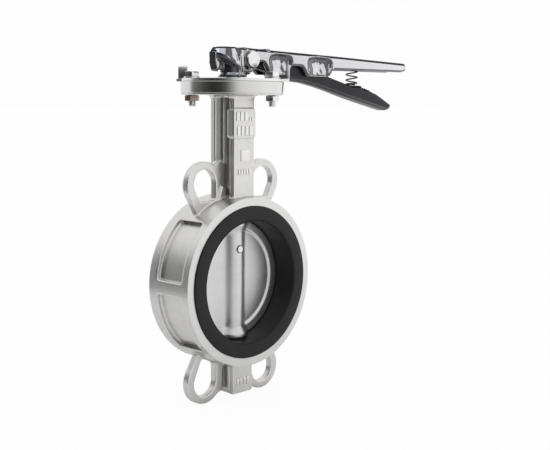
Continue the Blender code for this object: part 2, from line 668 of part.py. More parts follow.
def build_trigger_spring():
    """Coil spring between trigger and lever, with a closed coil at each end."""
    centre_x, coil_r, wire_r = 186.0, 6.3, 0.8
    turns, steps_per_turn, wire_sides = 5.0, 16, 6
    z0, z1 = 196.5 + wire_r, 222.1 - wire_r
    end_turns = 0.8                 # closed part of each end
    end_pitch = 2.2 * wire_r
    end_rise = end_turns * end_pitch
    open_rise = z1 - z0 - 2 * end_rise

    def height(turn):
        if turn < end_turns:
            return turn * end_pitch
        if turn > turns - end_turns:
            return (z1 - z0) - (turns - turn) * end_pitch
        return end_rise + open_rise * (turn - end_turns) / (turns - 2 * end_turns)

    last = int(turns * steps_per_turn)
    path = []
    for i in range(last + 1):
        turn = turns * (i / last)
        angle = 2 * math.pi * turn
        path.append(world(centre_x + coil_r * math.cos(angle), coil_r * math.sin(angle),
                          z0 + height(turn)))

    bm = bmesh.new()
    rings = []
    for i, point in enumerate(path):
        along = (path[min(i + 1, last)] - path[max(i - 1, 0)]).normalized()
        across = along.cross(Vector((0, 0, 1))).normalized()
        upward = across.cross(along).normalized()
        ring = []
        for k in range(wire_sides):
            angle = 2 * math.pi * k / wire_sides
            offset = across * math.cos(angle) + upward * math.sin(angle)
            ring.append(bm.verts.new(point + offset * wire_r * MM))
        rings.append(ring)
    for ring, following in zip(rings, rings[1:]):
        bridge(bm, ring, following)
    cap_ends(bm, rings)
    piece("trigger_spring", bm, SPRING_STEEL, stem_axis)


# ---------------------------------------------------------------- assembly
build_body()
build_liner()
build_disc()
build_stem()
build_taper_pin()
build_bushings()
build_orings()
build_thrust_washer()
build_retaining_ring()
build_notch_plate()
build_plate_fasteners()
build_lever()
build_set_screw()
build_pivot_pin()
build_trigger()
build_trigger_spring()
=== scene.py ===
"""Wafer butterfly valve with a notched lever handle and a squeeze trigger.

The bore runs along Y, the stem stands along Z and the lever reaches out along +X.
Shapes are worked out in millimetres about the bore centre and written to their
meshes in metres, with z = 0 at the foot of the lower boss.
"""
import math
from functools import reduce

import bmesh
import bpy
import numpy as np
from mathutils import Matrix, Vector


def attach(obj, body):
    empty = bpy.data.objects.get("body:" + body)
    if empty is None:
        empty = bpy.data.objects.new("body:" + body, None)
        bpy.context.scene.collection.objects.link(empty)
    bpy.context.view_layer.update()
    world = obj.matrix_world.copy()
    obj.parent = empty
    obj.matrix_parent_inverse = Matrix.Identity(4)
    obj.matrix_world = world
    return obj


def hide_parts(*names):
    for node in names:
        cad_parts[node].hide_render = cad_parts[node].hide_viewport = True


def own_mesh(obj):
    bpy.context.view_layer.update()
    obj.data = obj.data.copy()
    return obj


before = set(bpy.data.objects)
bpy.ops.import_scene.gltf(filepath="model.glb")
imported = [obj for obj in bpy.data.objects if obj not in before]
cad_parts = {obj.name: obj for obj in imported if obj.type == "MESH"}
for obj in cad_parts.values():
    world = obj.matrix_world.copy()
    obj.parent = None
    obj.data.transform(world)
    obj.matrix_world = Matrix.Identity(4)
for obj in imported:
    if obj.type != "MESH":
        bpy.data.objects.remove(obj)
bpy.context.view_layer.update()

MM = 0.001
ORIGIN = (0.0, 0.0, 0.0)
FOOT = 113.8                    # bore centre above the foot
GAP = 0.3                       # clearance between fitted parts
# ring and liner
FACE = 28.0                     # pipe face from the middle plane
BODY_R, POCKET_R = 83.7, 79.0
LINER_SEAT_R, LIP_SEAT_R, LIP_SEAT_D = 68.3, 75.8, 3.0
BORE_R, LIP_R, LIP_PROUD = 60.4, 75.4, 1.5
# ears, neck and top flange
EAR_X, EAR_Z, EAR_R = 39.7, 97.0, 22.6
NECK_HALF, TUBE_R = 12.8, 10.4
TOP_R, TOP_Z0, TOP_Z1 = 51.3, 184.0, 197.1
BOLT_CIRCLE, BOLT_HOLE_R = 39.7, 4.5
# stem and disc
STEM_R = 7.5
DISC_R, DISC_TIP = 60.0, 58.0
PIN_Z = 31.0                    # taper pin through disc and stem
ORING_Z = {"inner": 92.0, "outer": 168.0}
# notch plate
PLATE_Z0, PLATE_Z1 = 197.4, 200.1
TOOTH_R, ROOT_R = 57.0, 52.6
# lever, trigger and spring
LEVER_Y = 13.0                  # half width of the lever
PIVOT_X, PIVOT_Z = 15.0, 219.5
PIVOT_HOLE_R = 3.3
SCREW_Z = 210.0
TIP_X = 270.6
SPRING_X, SPRING_R, SPRING_WIRE, SPRING_TURNS = 186.0, 6.3, 0.8, 5.0
SPRING_Z0, SPRING_Z1 = 196.5, 222.1


# ================================================================ mesh helpers
def link(ob):
    bpy.context.scene.collection.objects.link(ob)
    return ob


def to_metres(points, dtype):
    points = np.asarray(points, dtype=dtype).copy()
    points[:, 2] += FOOT
    points *= MM
    return points


def mesh_object(name, verts, faces, recalculate=True):
    """Object from millimetre points, with its normals turned outward if asked."""
    mesh = bpy.data.meshes.new(name)
    mesh.from_pydata([tuple(p) for p in to_metres(verts, np.float64)], [],
                     [tuple(f) for f in faces])
    mesh.update()
    ob = link(bpy.data.objects.new(name, mesh))
    if recalculate:
        work = bmesh.new()
        work.from_mesh(mesh)
        bmesh.ops.recalc_face_normals(work, faces=work.faces)
        work.to_mesh(mesh)
        work.free()
    return ob


def quads_object(name, verts, quads):
    """A large all-quad mesh, written straight into the arrays."""
    verts = to_metres(verts, np.float32)
    quads = np.ascontiguousarray(quads, dtype=np.int32)
    mesh = bpy.data.meshes.new(name)
    mesh.vertices.add(len(verts))
    mesh.vertices.foreach_set("co", verts.ravel())
    mesh.loops.add(quads.size)
    mesh.loops.foreach_set("vertex_index", quads.ravel())
    mesh.polygons.add(len(quads))
    mesh.polygons.foreach_set("loop_start", np.arange(0, quads.size, 4, dtype=np.int32))
    mesh.update(calc_edges=True)
    mesh.validate()
    return link(bpy.data.objects.new(name, mesh))


def bake(ob):
    """Apply the object's modifiers to its mesh."""
    bpy.context.view_layer.update()
    graph = bpy.context.evaluated_depsgraph_get()
    mesh = bpy.data.meshes.new_from_object(ob.evaluated_get(graph))
    ob.modifiers.clear()
    old = ob.data
    ob.data = mesh
    mesh.name = ob.name
    bpy.data.meshes.remove(old)
    return ob


def combine(ob, tool, operation):
    """Boolean that uses the tool up; EXACT takes over where MANIFOLD changes nothing."""
    before = len(ob.data.vertices), len(ob.data.polygons)
    for solver in ("MANIFOLD", "EXACT"):
        modifier = ob.modifiers.new("boolean", "BOOLEAN")
        modifier.operation = operation
        modifier.solver = solver
        modifier.object = tool
        bake(ob)
        if (len(ob.data.vertices), len(ob.data.polygons)) != before:
            break
    bpy.data.objects.remove(tool, do_unlink=True)
    return ob


def cut(ob, tool):
    return combine(ob, tool, "DIFFERENCE")


def join(ob, tool):
    return combine(ob, tool, "UNION")


def bevel(ob, width, angle=30.0):
    modifier = ob.modifiers.new("bevel", "BEVEL")
    modifier.width = width * MM
    modifier.segments = 2
    modifier.limit_method = "ANGLE"
    modifier.angle_limit = math.radians(angle)
    return bake(ob)


def arc(centre_u, centre_v, radius, start, end, steps):
    angles = [math.radians(start + (end - start) * i / steps) for i in range(steps + 1)]
    return [(centre_u + radius * math.cos(a), centre_v + radius * math.sin(a)) for a in angles]


def rectangle(left, right, low, high):
    """Four corners; as a turned profile, solid if left is 0 and a ring if not."""
    return [(left, low), (right, low), (right, high), (left, high)]


def mirrored(half):
    """Close an outline given for +X with its mirror image."""
    return half + [(-u, v) for u, v in reversed(half)]


def place(axis, across, over, along, centre=ORIGIN):
    """(across, over) in the plane square to an axis, along on it."""
    if axis == "Z":
        return (centre[0] + across, centre[1] + over, centre[2] + along)
    return (centre[0] + across, centre[1] + along, centre[2] + over)


def prism_faces(count):
    """Two ends and the sides between two rings of count points."""
    ends = [tuple(range(count)), tuple(range(2 * count - 1, count - 1, -1))]
    return ends + [((i + 1) % count, i, count + i, count + (i + 1) % count)
                   for i in range(count)]


def prism(name, outline, axis, low, high):
    verts = [place(axis, u, v, level) for level in (low, high) for u, v in outline]
    return mesh_object(name, verts, prism_faces(len(outline)))


def lathe(name, profile, segments, axis="Z", centre=ORIGIN, phase=0.0):
    """Turned shape.  A profile from radius 0 to radius 0 is capped flat, any
    other is a closed ring."""
    solid = profile[0][0] <= 1e-9
    points = profile[1:-1] if solid else profile
    verts, faces = [], []
    for radius, along in points:
        for k in range(segments):
            turn = 2 * math.pi * (k + phase) / segments
            verts.append(place(axis, radius * math.cos(turn), radius * math.sin(turn),
                               along, centre))
    rows = len(points)
    for i in range(rows - 1 if solid else rows):
        this, after = i * segments, ((i + 1) % rows) * segments
        for k in range(segments):
            j = (k + 1) % segments
            faces.append((this + k, this + j, after + j, after + k))
    if solid:
        faces.append(tuple(range(segments)))
        faces.append(tuple(range(rows * segments - 1, (rows - 1) * segments - 1, -1)))
    return mesh_object(name, verts, faces)


def rod(radius, low, high, segments, axis="Z", centre=ORIGIN):
    """Plain cylinder to cut with."""
    return lathe("tool", rectangle(0, radius, low, high), segments, axis, centre)


def rounded(profile, radius, steps=4):
    """Round the corners of a (radius, height) profile, but for those on its axis."""
    out = []
    for i, point in enumerate(profile):
        if point[0] <= 1e-9:
            out.append(point)
            continue
        corner = Vector(point)
        back = Vector(profile[i - 1]) - corner
        ahead = Vector(profile[(i + 1) % len(profile)]) - corner
        reach_in = min(radius, back.length * 0.45, ahead.length * 0.45)
        first = corner + back.normalized() * reach_in
        last = corner + ahead.normalized() * reach_in
        for k in range(steps + 1):
            t = k / steps
            curve = first * (1 - t) ** 2 + corner * 2 * t * (1 - t) + last * t ** 2
            out.append((curve.x, curve.y))
    return out


def bolt_centre(angle):
    turn = math.radians(angle)
    return (BOLT_CIRCLE * math.cos(turn), BOLT_CIRCLE * math.sin(turn), 0)


def cut_bolt_holes(ob, low, high):
    for angle in (45, 135, 225, 315):
        cut(ob, rod(BOLT_HOLE_R, low, high, 40, centre=bolt_centre(angle)))


# ================================================================ distance-field castings
# A field is negative inside its shape.
class Grid:
    def __init__(self, low, high, cell):
        self.cell = cell
        self.low = np.array(low, dtype=np.float64)
        counts = [int(math.ceil((high[i] - low[i]) / cell)) + 1 for i in range(3)]
        axes = [(low[i] + cell * np.arange(counts[i])).astype(np.float32) for i in range(3)]
        self.x = axes[0][:, None, None]
        self.y = axes[1][None, :, None]
        self.z = axes[2][None, None, :]


def reach(*parts):
    """Length of the vector with these parts."""
    return np.sqrt(sum(part * part for part in parts))


def span(value, middle, half):
    """Slab of half thickness half about middle."""
    return np.abs(value - middle) - half


def outline(points, across, over):
    """Distance to a closed polygon."""
    across, over = np.broadcast_arrays(across, over)
    nearest = np.full(across.shape, 1e12, dtype=np.float32)
    inside = np.zeros(across.shape, dtype=bool)
    for (u0, v0), (u1, v1) in zip(points, points[1:] + points[:1]):
        edge_u, edge_v = u1 - u0, v1 - v0
        square = edge_u * edge_u + edge_v * edge_v
        if square < 1e-12:
            continue
        from_u, from_v = across - u0, over - v0
        t = np.clip((from_u * edge_u + from_v * edge_v) / square, 0.0, 1.0)
        nearest = np.minimum(nearest,
                             (from_u - t * edge_u) ** 2 + (from_v - t * edge_v) ** 2)
        if abs(edge_v) > 1e-12:
            crosses = (v0 > over) != (v1 > over)
            inside ^= crosses & (across < edge_u * (over - v0) / edge_v + u0)
    nearest = np.sqrt(nearest).astype(np.float32)
    return np.where(inside, -nearest, nearest)


def extrude(section, thickness, radius):
    """Where a section and a slab meet, with the edges rounded."""
    a, b = section + radius, thickness + radius
    return np.minimum(np.maximum(a, b), 0) + reach(np.maximum(a, 0), np.maximum(b, 0)) - radius


def common(*fields):
    return reduce(np.maximum, fields)


def merge(shape, part, blend):
    """Both shapes, with a fillet of about this size between them."""
    t = np.clip(0.5 + 0.5 * (part - shape) / blend, 0.0, 1.0)
    return part * (1 - t) + shape * t - blend * t * (1 - t)


def trim(shape, limit, blend):
    """What the two shapes share, with a softened edge."""
    return -merge(-shape, -limit, blend)


def carve(shape, tool, blend):
    return trim(shape, -tool, blend)


def surface(name, grid, field):
    """Surface-net mesh of the zero level of a field."""
    field = np.ascontiguousarray(field, dtype=np.float32)
    inside = field < 0
    corners = [(i, j, k) for i in (0, 1) for j in (0, 1) for k in (0, 1)]
    count = np.zeros(tuple(size - 1 for size in field.shape), dtype=np.uint8)
    for corner in corners:
        count += inside[tuple(slice(c, size - 1 + c) for c, size in zip(corner, field.shape))]
    crossed = (count > 0) & (count < 8)
    total = int(crossed.sum())
    index = np.full(count.shape, -1, dtype=np.int32)
    index[crossed] = np.arange(total, dtype=np.int32)
    cells = np.stack(np.nonzero(crossed), 1)

    # one point per crossed cell, at the mean of its edge crossings
    values = {c: field[tuple((cells + c).T)].astype(np.float64) for c in corners}
    sums, hits = np.zeros((total, 3)), np.zeros(total)
    for start in corners:
        for axis in range(3):
            if start[axis]:
                continue
            end = tuple(start[i] + (1 if i == axis else 0) for i in range(3))
            at_start, at_end = values[start], values[end]
            hit = (at_start < 0) != (at_end < 0)
            t = at_start[hit] / (at_start[hit] - at_end[hit])
            for i in range(3):
                sums[hit, i] += start[i] + (t if i == axis else 0.0)
            hits[hit] += 1
    points = sums / hits[:, None] + cells

    # two Newton steps bring the points onto the surface
    limit = np.array(field.shape) - 1.001
    for _ in range(2):
        clipped = np.clip(points, 0, limit)
        base = clipped.astype(np.int64)
        part = clipped - base
        weights = [[1 - part[:, i], part[:, i]] for i in range(3)]
        level, slope = 0, np.zeros((total, 3))
        for corner in corners:
            value = field[tuple((base + corner).T)].astype(np.float64)
            chosen = [weights[i][corner[i]] for i in range(3)]
            level = level + value * chosen[0] * chosen[1] * chosen[2]
            for i, (j, k) in enumerate(((1, 2), (0, 2), (0, 1))):
                sign = 1 if corner[i] else -1
                slope[:, i] += sign * value * chosen[j] * chosen[k]
        steepness = np.maximum((slope ** 2).sum(1), 1e-6)
        step = (level / steepness)[:, None] * slope
        length = np.sqrt((step ** 2).sum(1))[:, None]
        points = points - step * np.minimum(1.0, 0.5 / np.maximum(length, 1e-9))

    # a quad round every grid edge that crosses the surface
    quads = []
    for axis in range(3):
        low, high = [slice(1, -1)] * 3, [slice(1, -1)] * 3
        low[axis], high[axis] = slice(0, -1), slice(1, None)
        before, after = inside[tuple(low)], inside[tuple(high)]
        edges = before != after
        start = np.stack(np.nonzero(edges)) + 1
        start[axis] -= 1
        ring = []
        for step in ((-1, -1), (0, -1), (0, 0), (-1, 0)):
            near = start.copy()
            near[(axis + 1) % 3] += step[0]
            near[(axis + 2) % 3] += step[1]
            ring.append(index[tuple(near)])
        quad = np.stack(ring, 1)
        flip = ~before[edges]
        quad[flip] = quad[flip][:, ::-1]
        quads.append(quad)
    quads = np.concatenate(quads)
    return quads_object(name, points * grid.cell + grid.low, quads[(quads >= 0).all(1)])


# ================================================================ material helpers
class Shader:
    """A node tree with short calls for the nodes used here."""

    def __init__(self, tree):
        self.tree = tree

    def feed(self, socket, value):
        """Link a socket, or set a number, vector or RGB colour."""
        if value is None:
            return
        if isinstance(value, bpy.types.NodeSocket):
            self.tree.links.new(value, socket)
        else:
            colour = socket.type == "RGBA" and len(value) == 3
            socket.default_value = (*value, 1.0) if colour else value

    def add(self, kind, inputs=None, **settings):
        node = self.tree.nodes.new(kind)
        for key, value in settings.items():
            setattr(node, key, value)
        for key, value in (inputs or {}).items():
            self.feed(node.inputs[key], value)
        return node

    def principled(self, inputs):
        for key, value in inputs.items():
            self.feed(self.tree.nodes["Principled BSDF"].inputs[key], value)

    def noise(self, coord, scale, detail=3.0, rough=0.55, stretch=None):
        if stretch is not None:
            mapping = self.add("ShaderNodeMapping", {"Scale": stretch, "Vector": coord})
            coord = mapping.outputs["Vector"]
        return self.add("ShaderNodeTexNoise", {
            "Scale": scale, "Detail": detail, "Roughness": rough,
            "Vector": coord}).outputs["Fac"]

    def ramp(self, factor, stops):
        """Colour ramp from (position, grey or colour) stops."""
        node = self.add("ShaderNodeValToRGB", {"Fac": factor})
        elements = node.color_ramp.elements
        while len(elements) > 1:
            elements.remove(elements[-1])
        for i, (position, colour) in enumerate(stops):
            element = elements[0] if i == 0 else elements.new(position)
            element.position = position
            rgb = (colour,) * 3 if isinstance(colour, (int, float)) else colour
            element.color = (*rgb, 1.0)
        return node.outputs["Color"]

    def maths(self, operation, first, second=None):
        return self.add("ShaderNodeMath", {0: first, 1: second}, operation=operation).outputs[0]

    def plus(self, first, second):
        return self.maths("ADD", first, second)

    def times(self, first, second):
        return self.maths("MULTIPLY", first, second)

    def mix(self, factor, first, second):
        return self.add("ShaderNodeMix", {0: factor, 6: first, 7: second},
                        data_type="RGBA").outputs[2]

    def mix_shader(self, factor, first, second):
        return self.add("ShaderNodeMixShader", {0: factor, 1: first, 2: second}).outputs[0]

    def bump(self, height, strength, distance, after=None):
        return self.add("ShaderNodeBump", {
            "Strength": strength, "Distance": distance, "Height": height,
            "Normal": after}).outputs["Normal"]

    def coords(self):
        return self.add("ShaderNodeTexCoord").outputs["Object"]

    def pointiness(self):
        return self.add("ShaderNodeNewGeometry").outputs["Pointiness"]

    def split(self, vector):
        return self.add("ShaderNodeSeparateXYZ", {0: vector}).outputs


def new_material(name):
    material = bpy.data.materials.new(name)
    material.use_nodes = True
    return material, Shader(material.node_tree)


def shade(colour, factor):
    return tuple(min(1.0, c * factor) for c in colour)


def metal(name, base, rough, grain, relief, mottle, vary, stretch=None, edge=0.0, pits=0.0,
          hollow_shade=0.0):
    """Cast or rolled metal.  grain is a noise scale and relief its bump, mottle and
    vary spread the colour and roughness, edge brightens edges, and the last argument darkens the
    hollows with painted shade."""
    material, sh = new_material(name)
    coord = sh.coords()
    big = sh.noise(coord, 22.0, 4.0, 0.6)
    mid = sh.noise(coord, grain * 0.22, 4.0, 0.6, stretch)
    small = sh.noise(coord, grain, 3.0, 0.6, stretch)
    tone = sh.plus(sh.times(big, 0.5), sh.times(mid, 0.5))
    colour = sh.ramp(tone, [(0.32, shade(base, 1 - mottle * 2.2)),
                            (0.68, shade(base, 1 + mottle))])
    # painted shade: the hollows are darkened toward a third of the base colour
    if hollow_shade > 0:
        hollows = sh.ramp(sh.pointiness(), [(0.40, hollow_shade), (0.50, 0.0)])
        colour = sh.mix(hollows, colour, shade(base, 0.35))
    if edge > 0:
        edges = sh.ramp(sh.pointiness(), [(0.515, 0.0), (0.58, edge)])
        colour = sh.mix(edges, colour, shade(base, 1.35))
    roughness = sh.plus(rough - vary, sh.times(mid, vary * 2))
    roughness = sh.plus(roughness, sh.times(sh.maths("SUBTRACT", small, 0.5), vary))
    normal = sh.bump(small, relief, 0.00025)
    normal = sh.bump(mid, relief * 0.6, 0.0005, normal)
    if pits > 0:
        cells = sh.add("ShaderNodeTexVoronoi", {"Scale": grain * 0.35, "Vector": coord})
        pitting = sh.ramp(cells.outputs["Distance"], [(0.0, 0.0), (0.16, 1.0)])
        normal = sh.bump(pitting, pits, 0.0004, normal)
    sh.principled({"Base Color": colour, "Metallic": 1.0, "Roughness": roughness,
                   "Normal": normal})
    return material


def turned(name, base, rough, about_bore, pitch, relief):
    """Lathe lines, as rings about the bore or stacked up the stem."""
    vary = 0.06                 # spread of the roughness
    material, sh = new_material(name)
    coord = sh.coords()
    part = sh.split(coord)
    if about_bore:
        height = sh.maths("SUBTRACT", part["Z"], FOOT * MM)
        travel = sh.maths("SQRT", sh.plus(sh.times(part["X"], part["X"]),
                                          sh.times(height, height)))
    else:
        travel = part["Z"]
    lines = sh.maths("SINE", sh.times(travel, 2 * math.pi / (pitch * MM)))
    stacked = sh.add("ShaderNodeCombineXYZ", {0: travel}).outputs[0]
    band = sh.noise(stacked, 1900.0, 4.0, 0.7)
    big = sh.noise(coord, 30.0, 3.0, 0.5)
    fine = sh.noise(coord, 1400.0, 2.0, 0.6)
    colour = sh.ramp(sh.plus(sh.times(band, 0.6), sh.times(big, 0.4)),
                     [(0.3, shade(base, 0.86)), (0.7, shade(base, 1.05))])
    normal = sh.bump(lines, relief, 0.00008)
    sh.principled({
        "Base Color": colour, "Metallic": 1.0,
        "Roughness": sh.plus(rough - vary, sh.times(sh.plus(band, fine), vary)),
        "Normal": sh.bump(band, relief, 0.0002, normal)})
    return material


def rubber(name, grey):
    """Dull black rubber with a little dust."""
    material, sh = new_material(name)
    coord = sh.coords()
    big = sh.noise(coord, 26.0, 4.0, 0.6)
    small = sh.noise(coord, 1500.0, 3.0, 0.65)
    colour = sh.ramp(big, [(0.3, (grey * 0.75,) * 3),
                           (0.7, (grey * 1.35, grey * 1.35, grey * 1.45))])
    dust = sh.ramp(sh.noise(coord, 260.0, 5.0, 0.7), [(0.62, 0.0), (0.80, 0.10)])
    sh.principled({
        "Base Color": sh.mix(dust, colour, (0.10, 0.10, 0.11)),
        "Roughness": sh.plus(0.36, sh.times(big, 0.16)),
        "Specular IOR Level": 0.26,
        "Normal": sh.bump(small, 0.14, 0.0002)})
    return material


def enamel(name, base, rough, coat, specular):
    """Black enamel with faint orange peel and scuffs."""
    material, sh = new_material(name)
    coord = sh.coords()
    peel = sh.noise(coord, 210.0, 2.0, 0.4)
    fine = sh.noise(coord, 1600.0, 2.0, 0.5)
    big = sh.noise(coord, 30.0, 4.0, 0.6)
    colour = sh.ramp(big, [(0.3, base), (0.7, shade(base, 1.8))])
    scuffs = sh.ramp(sh.noise(coord, 620.0, 5.0, 0.75), [(0.70, 0.0), (0.80, 0.25)])
    colour = sh.mix(scuffs, colour, (0.05, 0.05, 0.055))
    roughness = sh.plus(rough, sh.times(fine, 0.05))
    # painted shade: faces that look upward lose most of their gloss, so the tops stay dark
    facing = sh.split(sh.add("ShaderNodeNewGeometry").outputs["Normal"])["Z"]
    shine_with_painted_top_shade = sh.ramp(facing, [(0.34, 1.0), (0.52, 0.03)])
    normal = sh.bump(peel, 0.10, 0.0006)
    sh.principled({
        "Base Color": colour, "Roughness": roughness,
        "Specular IOR Level": sh.times(shine_with_painted_top_shade, specular),
        "Coat Weight": sh.times(shine_with_painted_top_shade, coat),
        "Coat Roughness": 0.035, "Coat IOR": 1.62,
        "Normal": normal, "Coat Normal": normal})
    return material


def plastic(name, base):
    material, sh = new_material(name)
    coord = sh.coords()
    colour = sh.ramp(sh.noise(coord, 120.0, 4.0), [(0.3, shade(base, 0.93)), (0.7, base)])
    sh.principled({"Base Color": colour, "Roughness": 0.45,
                   "Normal": sh.bump(sh.noise(coord, 900.0), 0.15, 0.0002)})
    return material


# the hollow-shade values below paint shade into the hollows of the castings and of the aged nut
CAST = metal("cast_stainless_body", base=(0.66, 0.655, 0.64), rough=0.31, grain=1150.0,
             relief=0.20, mottle=0.05, vary=0.07, edge=0.5, pits=0.05, hollow_shade=0.28)
PIPE_FACE = turned("turned_pipe_face", base=(0.70, 0.70, 0.69), rough=0.30,
                   about_bore=True, pitch=0.45, relief=0.10)
TOP_FACE = turned("turned_top_flange", base=(0.72, 0.715, 0.70), rough=0.17,
                  about_bore=False, pitch=0.5, relief=0.03)
DISC_CAST = metal("cast_stainless_disc", base=(0.66, 0.66, 0.665), rough=0.36, grain=900.0,
                  relief=0.12, mottle=0.04, vary=0.06, edge=0.3, pits=0.04, hollow_shade=0.2)
BRIGHT = metal("bright_stainless", base=(0.74, 0.74, 0.735), rough=0.20, grain=1300.0,
               relief=0.06, mottle=0.03, vary=0.06, stretch=(1.0, 1.0, 0.08))
PLATE = metal("rolled_stainless_plate", base=(0.78, 0.78, 0.775), rough=0.24, grain=1500.0,
              relief=0.08, mottle=0.03, vary=0.07, stretch=(0.06, 1.0, 1.0), edge=0.25)
ZINC = metal("bright_zinc_plating", base=(0.84, 0.835, 0.82), rough=0.22, grain=700.0,
             relief=0.08, mottle=0.08, vary=0.10, edge=0.35)
OLD_ZINC = metal("aged_zinc_nut", base=(0.36, 0.27, 0.225), rough=0.30, grain=700.0,
                 relief=0.14, mottle=0.16, vary=0.12, edge=0.5, hollow_shade=0.3)
SPRING_STEEL = metal("dark_spring_wire", base=(0.12, 0.12, 0.13), rough=0.26, grain=900.0,
                     relief=0.08, mottle=0.05, vary=0.08)
BLACK_OXIDE = metal("black_oxide_screw", base=(0.05, 0.05, 0.052), rough=0.38, grain=900.0,
                    relief=0.1, mottle=0.06, vary=0.08, edge=0.4)
RUBBER = rubber("black_epdm_rubber", grey=0.008)
GLOSS = enamel("black_gloss_enamel", base=(0.006, 0.006, 0.008), rough=0.07, coat=0.9,
               specular=0.62)
SATIN = enamel("black_satin_enamel", base=(0.008, 0.008, 0.010), rough=0.30, coat=0.0,
               specular=0.26)
PTFE = plastic("white_ptfe", base=(0.82, 0.82, 0.80))


def dress(ob, material, rides, replaces, angle=32.0):
    """Give a piece its material, smooth it up to an edge angle and register it."""
    ob.data.materials.clear()
    ob.data.materials.append(material)
    ob.data.shade_smooth()
    ob.data.set_sharp_from_angle(angle=math.radians(angle))
    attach(ob, rides)
    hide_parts(replaces)


# ================================================================ valve body
# Outlines are (x, z); those of the ears and their holes are for +X, with z turned up.
NECK_OUTLINE = mirrored([(15.8, 72), (14.4, 84), (NECK_HALF + 1.0, 90), (NECK_HALF + 1.0, 178),
                         (NECK_HALF + 1.6, 181), (NECK_HALF + 2.6, 185)])
BOSS_OUTLINE = mirrored([(NECK_HALF + 0.6, -FOOT), (NECK_HALF + 0.6, -90), (13.8, -86),
                         (15.0, -82), (15.0, -72)])
UPPER_EAR = arc(EAR_X, EAR_Z, EAR_R, -38, 122, 36) + [
    (22.0, 119.1), (18.4, 120.6), (16.4, 120.2), (15.6, 118.4), (15.6, 88), (12.0, 82),
    (12.0, 72), (47.6, 66)]
LOWER_EAR = arc(EAR_X, EAR_Z, EAR_R, -38, 132, 36) + [
    (20.0, 111.6), (16.6, 110.6), (16.0, 88), (12.0, 82), (12.0, 72), (47.6, 66)]
HOLE_TOP = arc(EAR_X, 97.9, 14.3, -14, 180, 30)
UPPER_HOLE = HOLE_TOP + [(25.5, 86.0)] + arc(28.6, 84.0, 2.8, 200, 270, 5) \
    + arc(45.4, 83.8, 2.6, 270, 325, 4)
LOWER_HOLE = HOLE_TOP + [(25.5, 84.0), (27.0, 81.2), (33.0, 78.2), (41.5, 74.4), (45.0, 75.4)]
# side of the bore, ear, hole, top of the link to the neck or boss
EARS = ((1, UPPER_EAR, UPPER_HOLE, 117.5), (-1, LOWER_EAR, LOWER_HOLE, 110.2))
LINK_FOOT = 72.0
CORNER_OUTLINE = [(12.0, 78.0), (25.5, 78.0), (18.4, 94.5), (12.0, 92.0)]
PAD_OUTLINE = [point for x, z, start in ((12.2, 168, 0), (-12.2, 168, 90),
                                         (-12.2, 144.6, 180), (12.2, 144.6, 270))
               for point in arc(x, z, 3, start, start + 90, 6)]
# (radius, z) down the stem bore: bushing seats, shaft clearance, washer recess
STEM_BORE = [(0, -105), (8.0, -105), (8.0, -86.2), (10.3, -86.2), (10.3, 86.2), (8.0, 86.2),
             (8.0, 176.5), (10.3, 176.5), (10.3, 191.0), (13.6, 191.0), (13.6, 210), (0, 210)]


def ring_field(x, y, z):
    """Ring about the bore, with two cast pockets each side."""
    from_bore = reach(x, z)
    ring = extrude(from_bore - BODY_R, np.abs(y) - 31.6, 1.0)
    pockets = common(POCKET_R - from_bore, 7.2 - np.abs(z), np.abs(z) - 62.0)
    return carve(ring, extrude(pockets, span(y, -0.5, 17.5), 2.4), 1.8)


def neck_field(x, y, z):
    """H-section neck: two plates, the stem tube, and webs that widen to the plates."""
    abs_y = np.abs(y)
    narrowing = 0.10 * np.clip(y - 10.4, 0.0, 7.0)
    plates = extrude(outline(NECK_OUTLINE, x, z) + narrowing, span(abs_y, 13.8, 3.4), 0.4)
    tube = common(reach(x, y) - TUBE_R, span(z, 126.0, 61.0))
    web = common((np.abs(x) - abs_y - 2.6) * 0.7071, abs_y - 12.0, 3.0 - abs_y,
                 span(z, 126.0, 58.0))
    return merge(merge(plates, tube, 1.0), web, 0.8)


def boss_field(x, y, z):
    """Lower boss: two plates, the stem tube, a slab under the foot and a web."""
    abs_x, abs_y = np.abs(x), np.abs(y)
    plates = extrude(outline(BOSS_OUTLINE, x, z), span(abs_y, 13.3, 3.0), 0.8)
    tube = common(reach(x, y) - TUBE_R - 0.4, span(z, -87.0, 21.0))
    slab = extrude(common(abs_x - 12.2, span(z, -110.4, 3.4)), abs_y - 14.3, 0.8)
    web = common(abs_x + 0.14 * y - 12.9, abs_y - 11.0, span(z, -96.0, 14.6))
    boss = merge(merge(merge(plates, tube, 1.6), slab, 1.2), web, 0.8)
    return common(boss, -FOOT - z)


def body_casting():
    grid = Grid((-87.6, -53.6, -122.0), (87.6, 53.6, 200.0), 0.85)
    x, y, z = grid.x, grid.y, grid.z
    abs_x, abs_y = np.abs(x), np.abs(y)
    shape = merge(ring_field(x, y, z), neck_field(x, y, z), 3.0)
    shape = merge(shape, boss_field(x, y, z), 3.4)
    # ears, each with a thinner link to the neck or the boss
    holes = []
    for side, ear, hole, link_top in EARS:
        up = z * side
        shape = merge(shape, extrude(outline(ear, abs_x, up), abs_y - 4.0, 0.9), 1.8)
        bar = common(span(abs_x, 13.3, 5.3),
                     span(up, (link_top + LINK_FOOT) / 2, (link_top - LINK_FOOT) / 2))
        shape = merge(shape, extrude(bar, span(y, 2.2, 1.2), 0.5), 1.0)
        holes.append(common(extrude(outline(hole, abs_x, up), abs_y - 9.0, 0.2),
                            84.2 - reach(x, z)))
    # block in the corner between upper ear, neck and ring
    corner = outline(CORNER_OUTLINE, abs_x, z)
    shape = merge(shape, extrude(corner, span(y, -2.5, 3.2), 0.8), 1.6)
    flange = extrude(reach(x, y) - (TOP_R - 0.5), span(z, 190.0, 6.0), 1.0)
    shape = merge(shape, flange, 4.0)
    shape = carve(shape, np.minimum(*holes), 1.0)
    # pad on the -Y face of the neck
    shape = merge(shape, extrude(outline(PAD_OUTLINE, x, z), span(y, -13.3, 4.9), 0.5), 0.8)
    return surface("valve_body_casting", grid, shape)


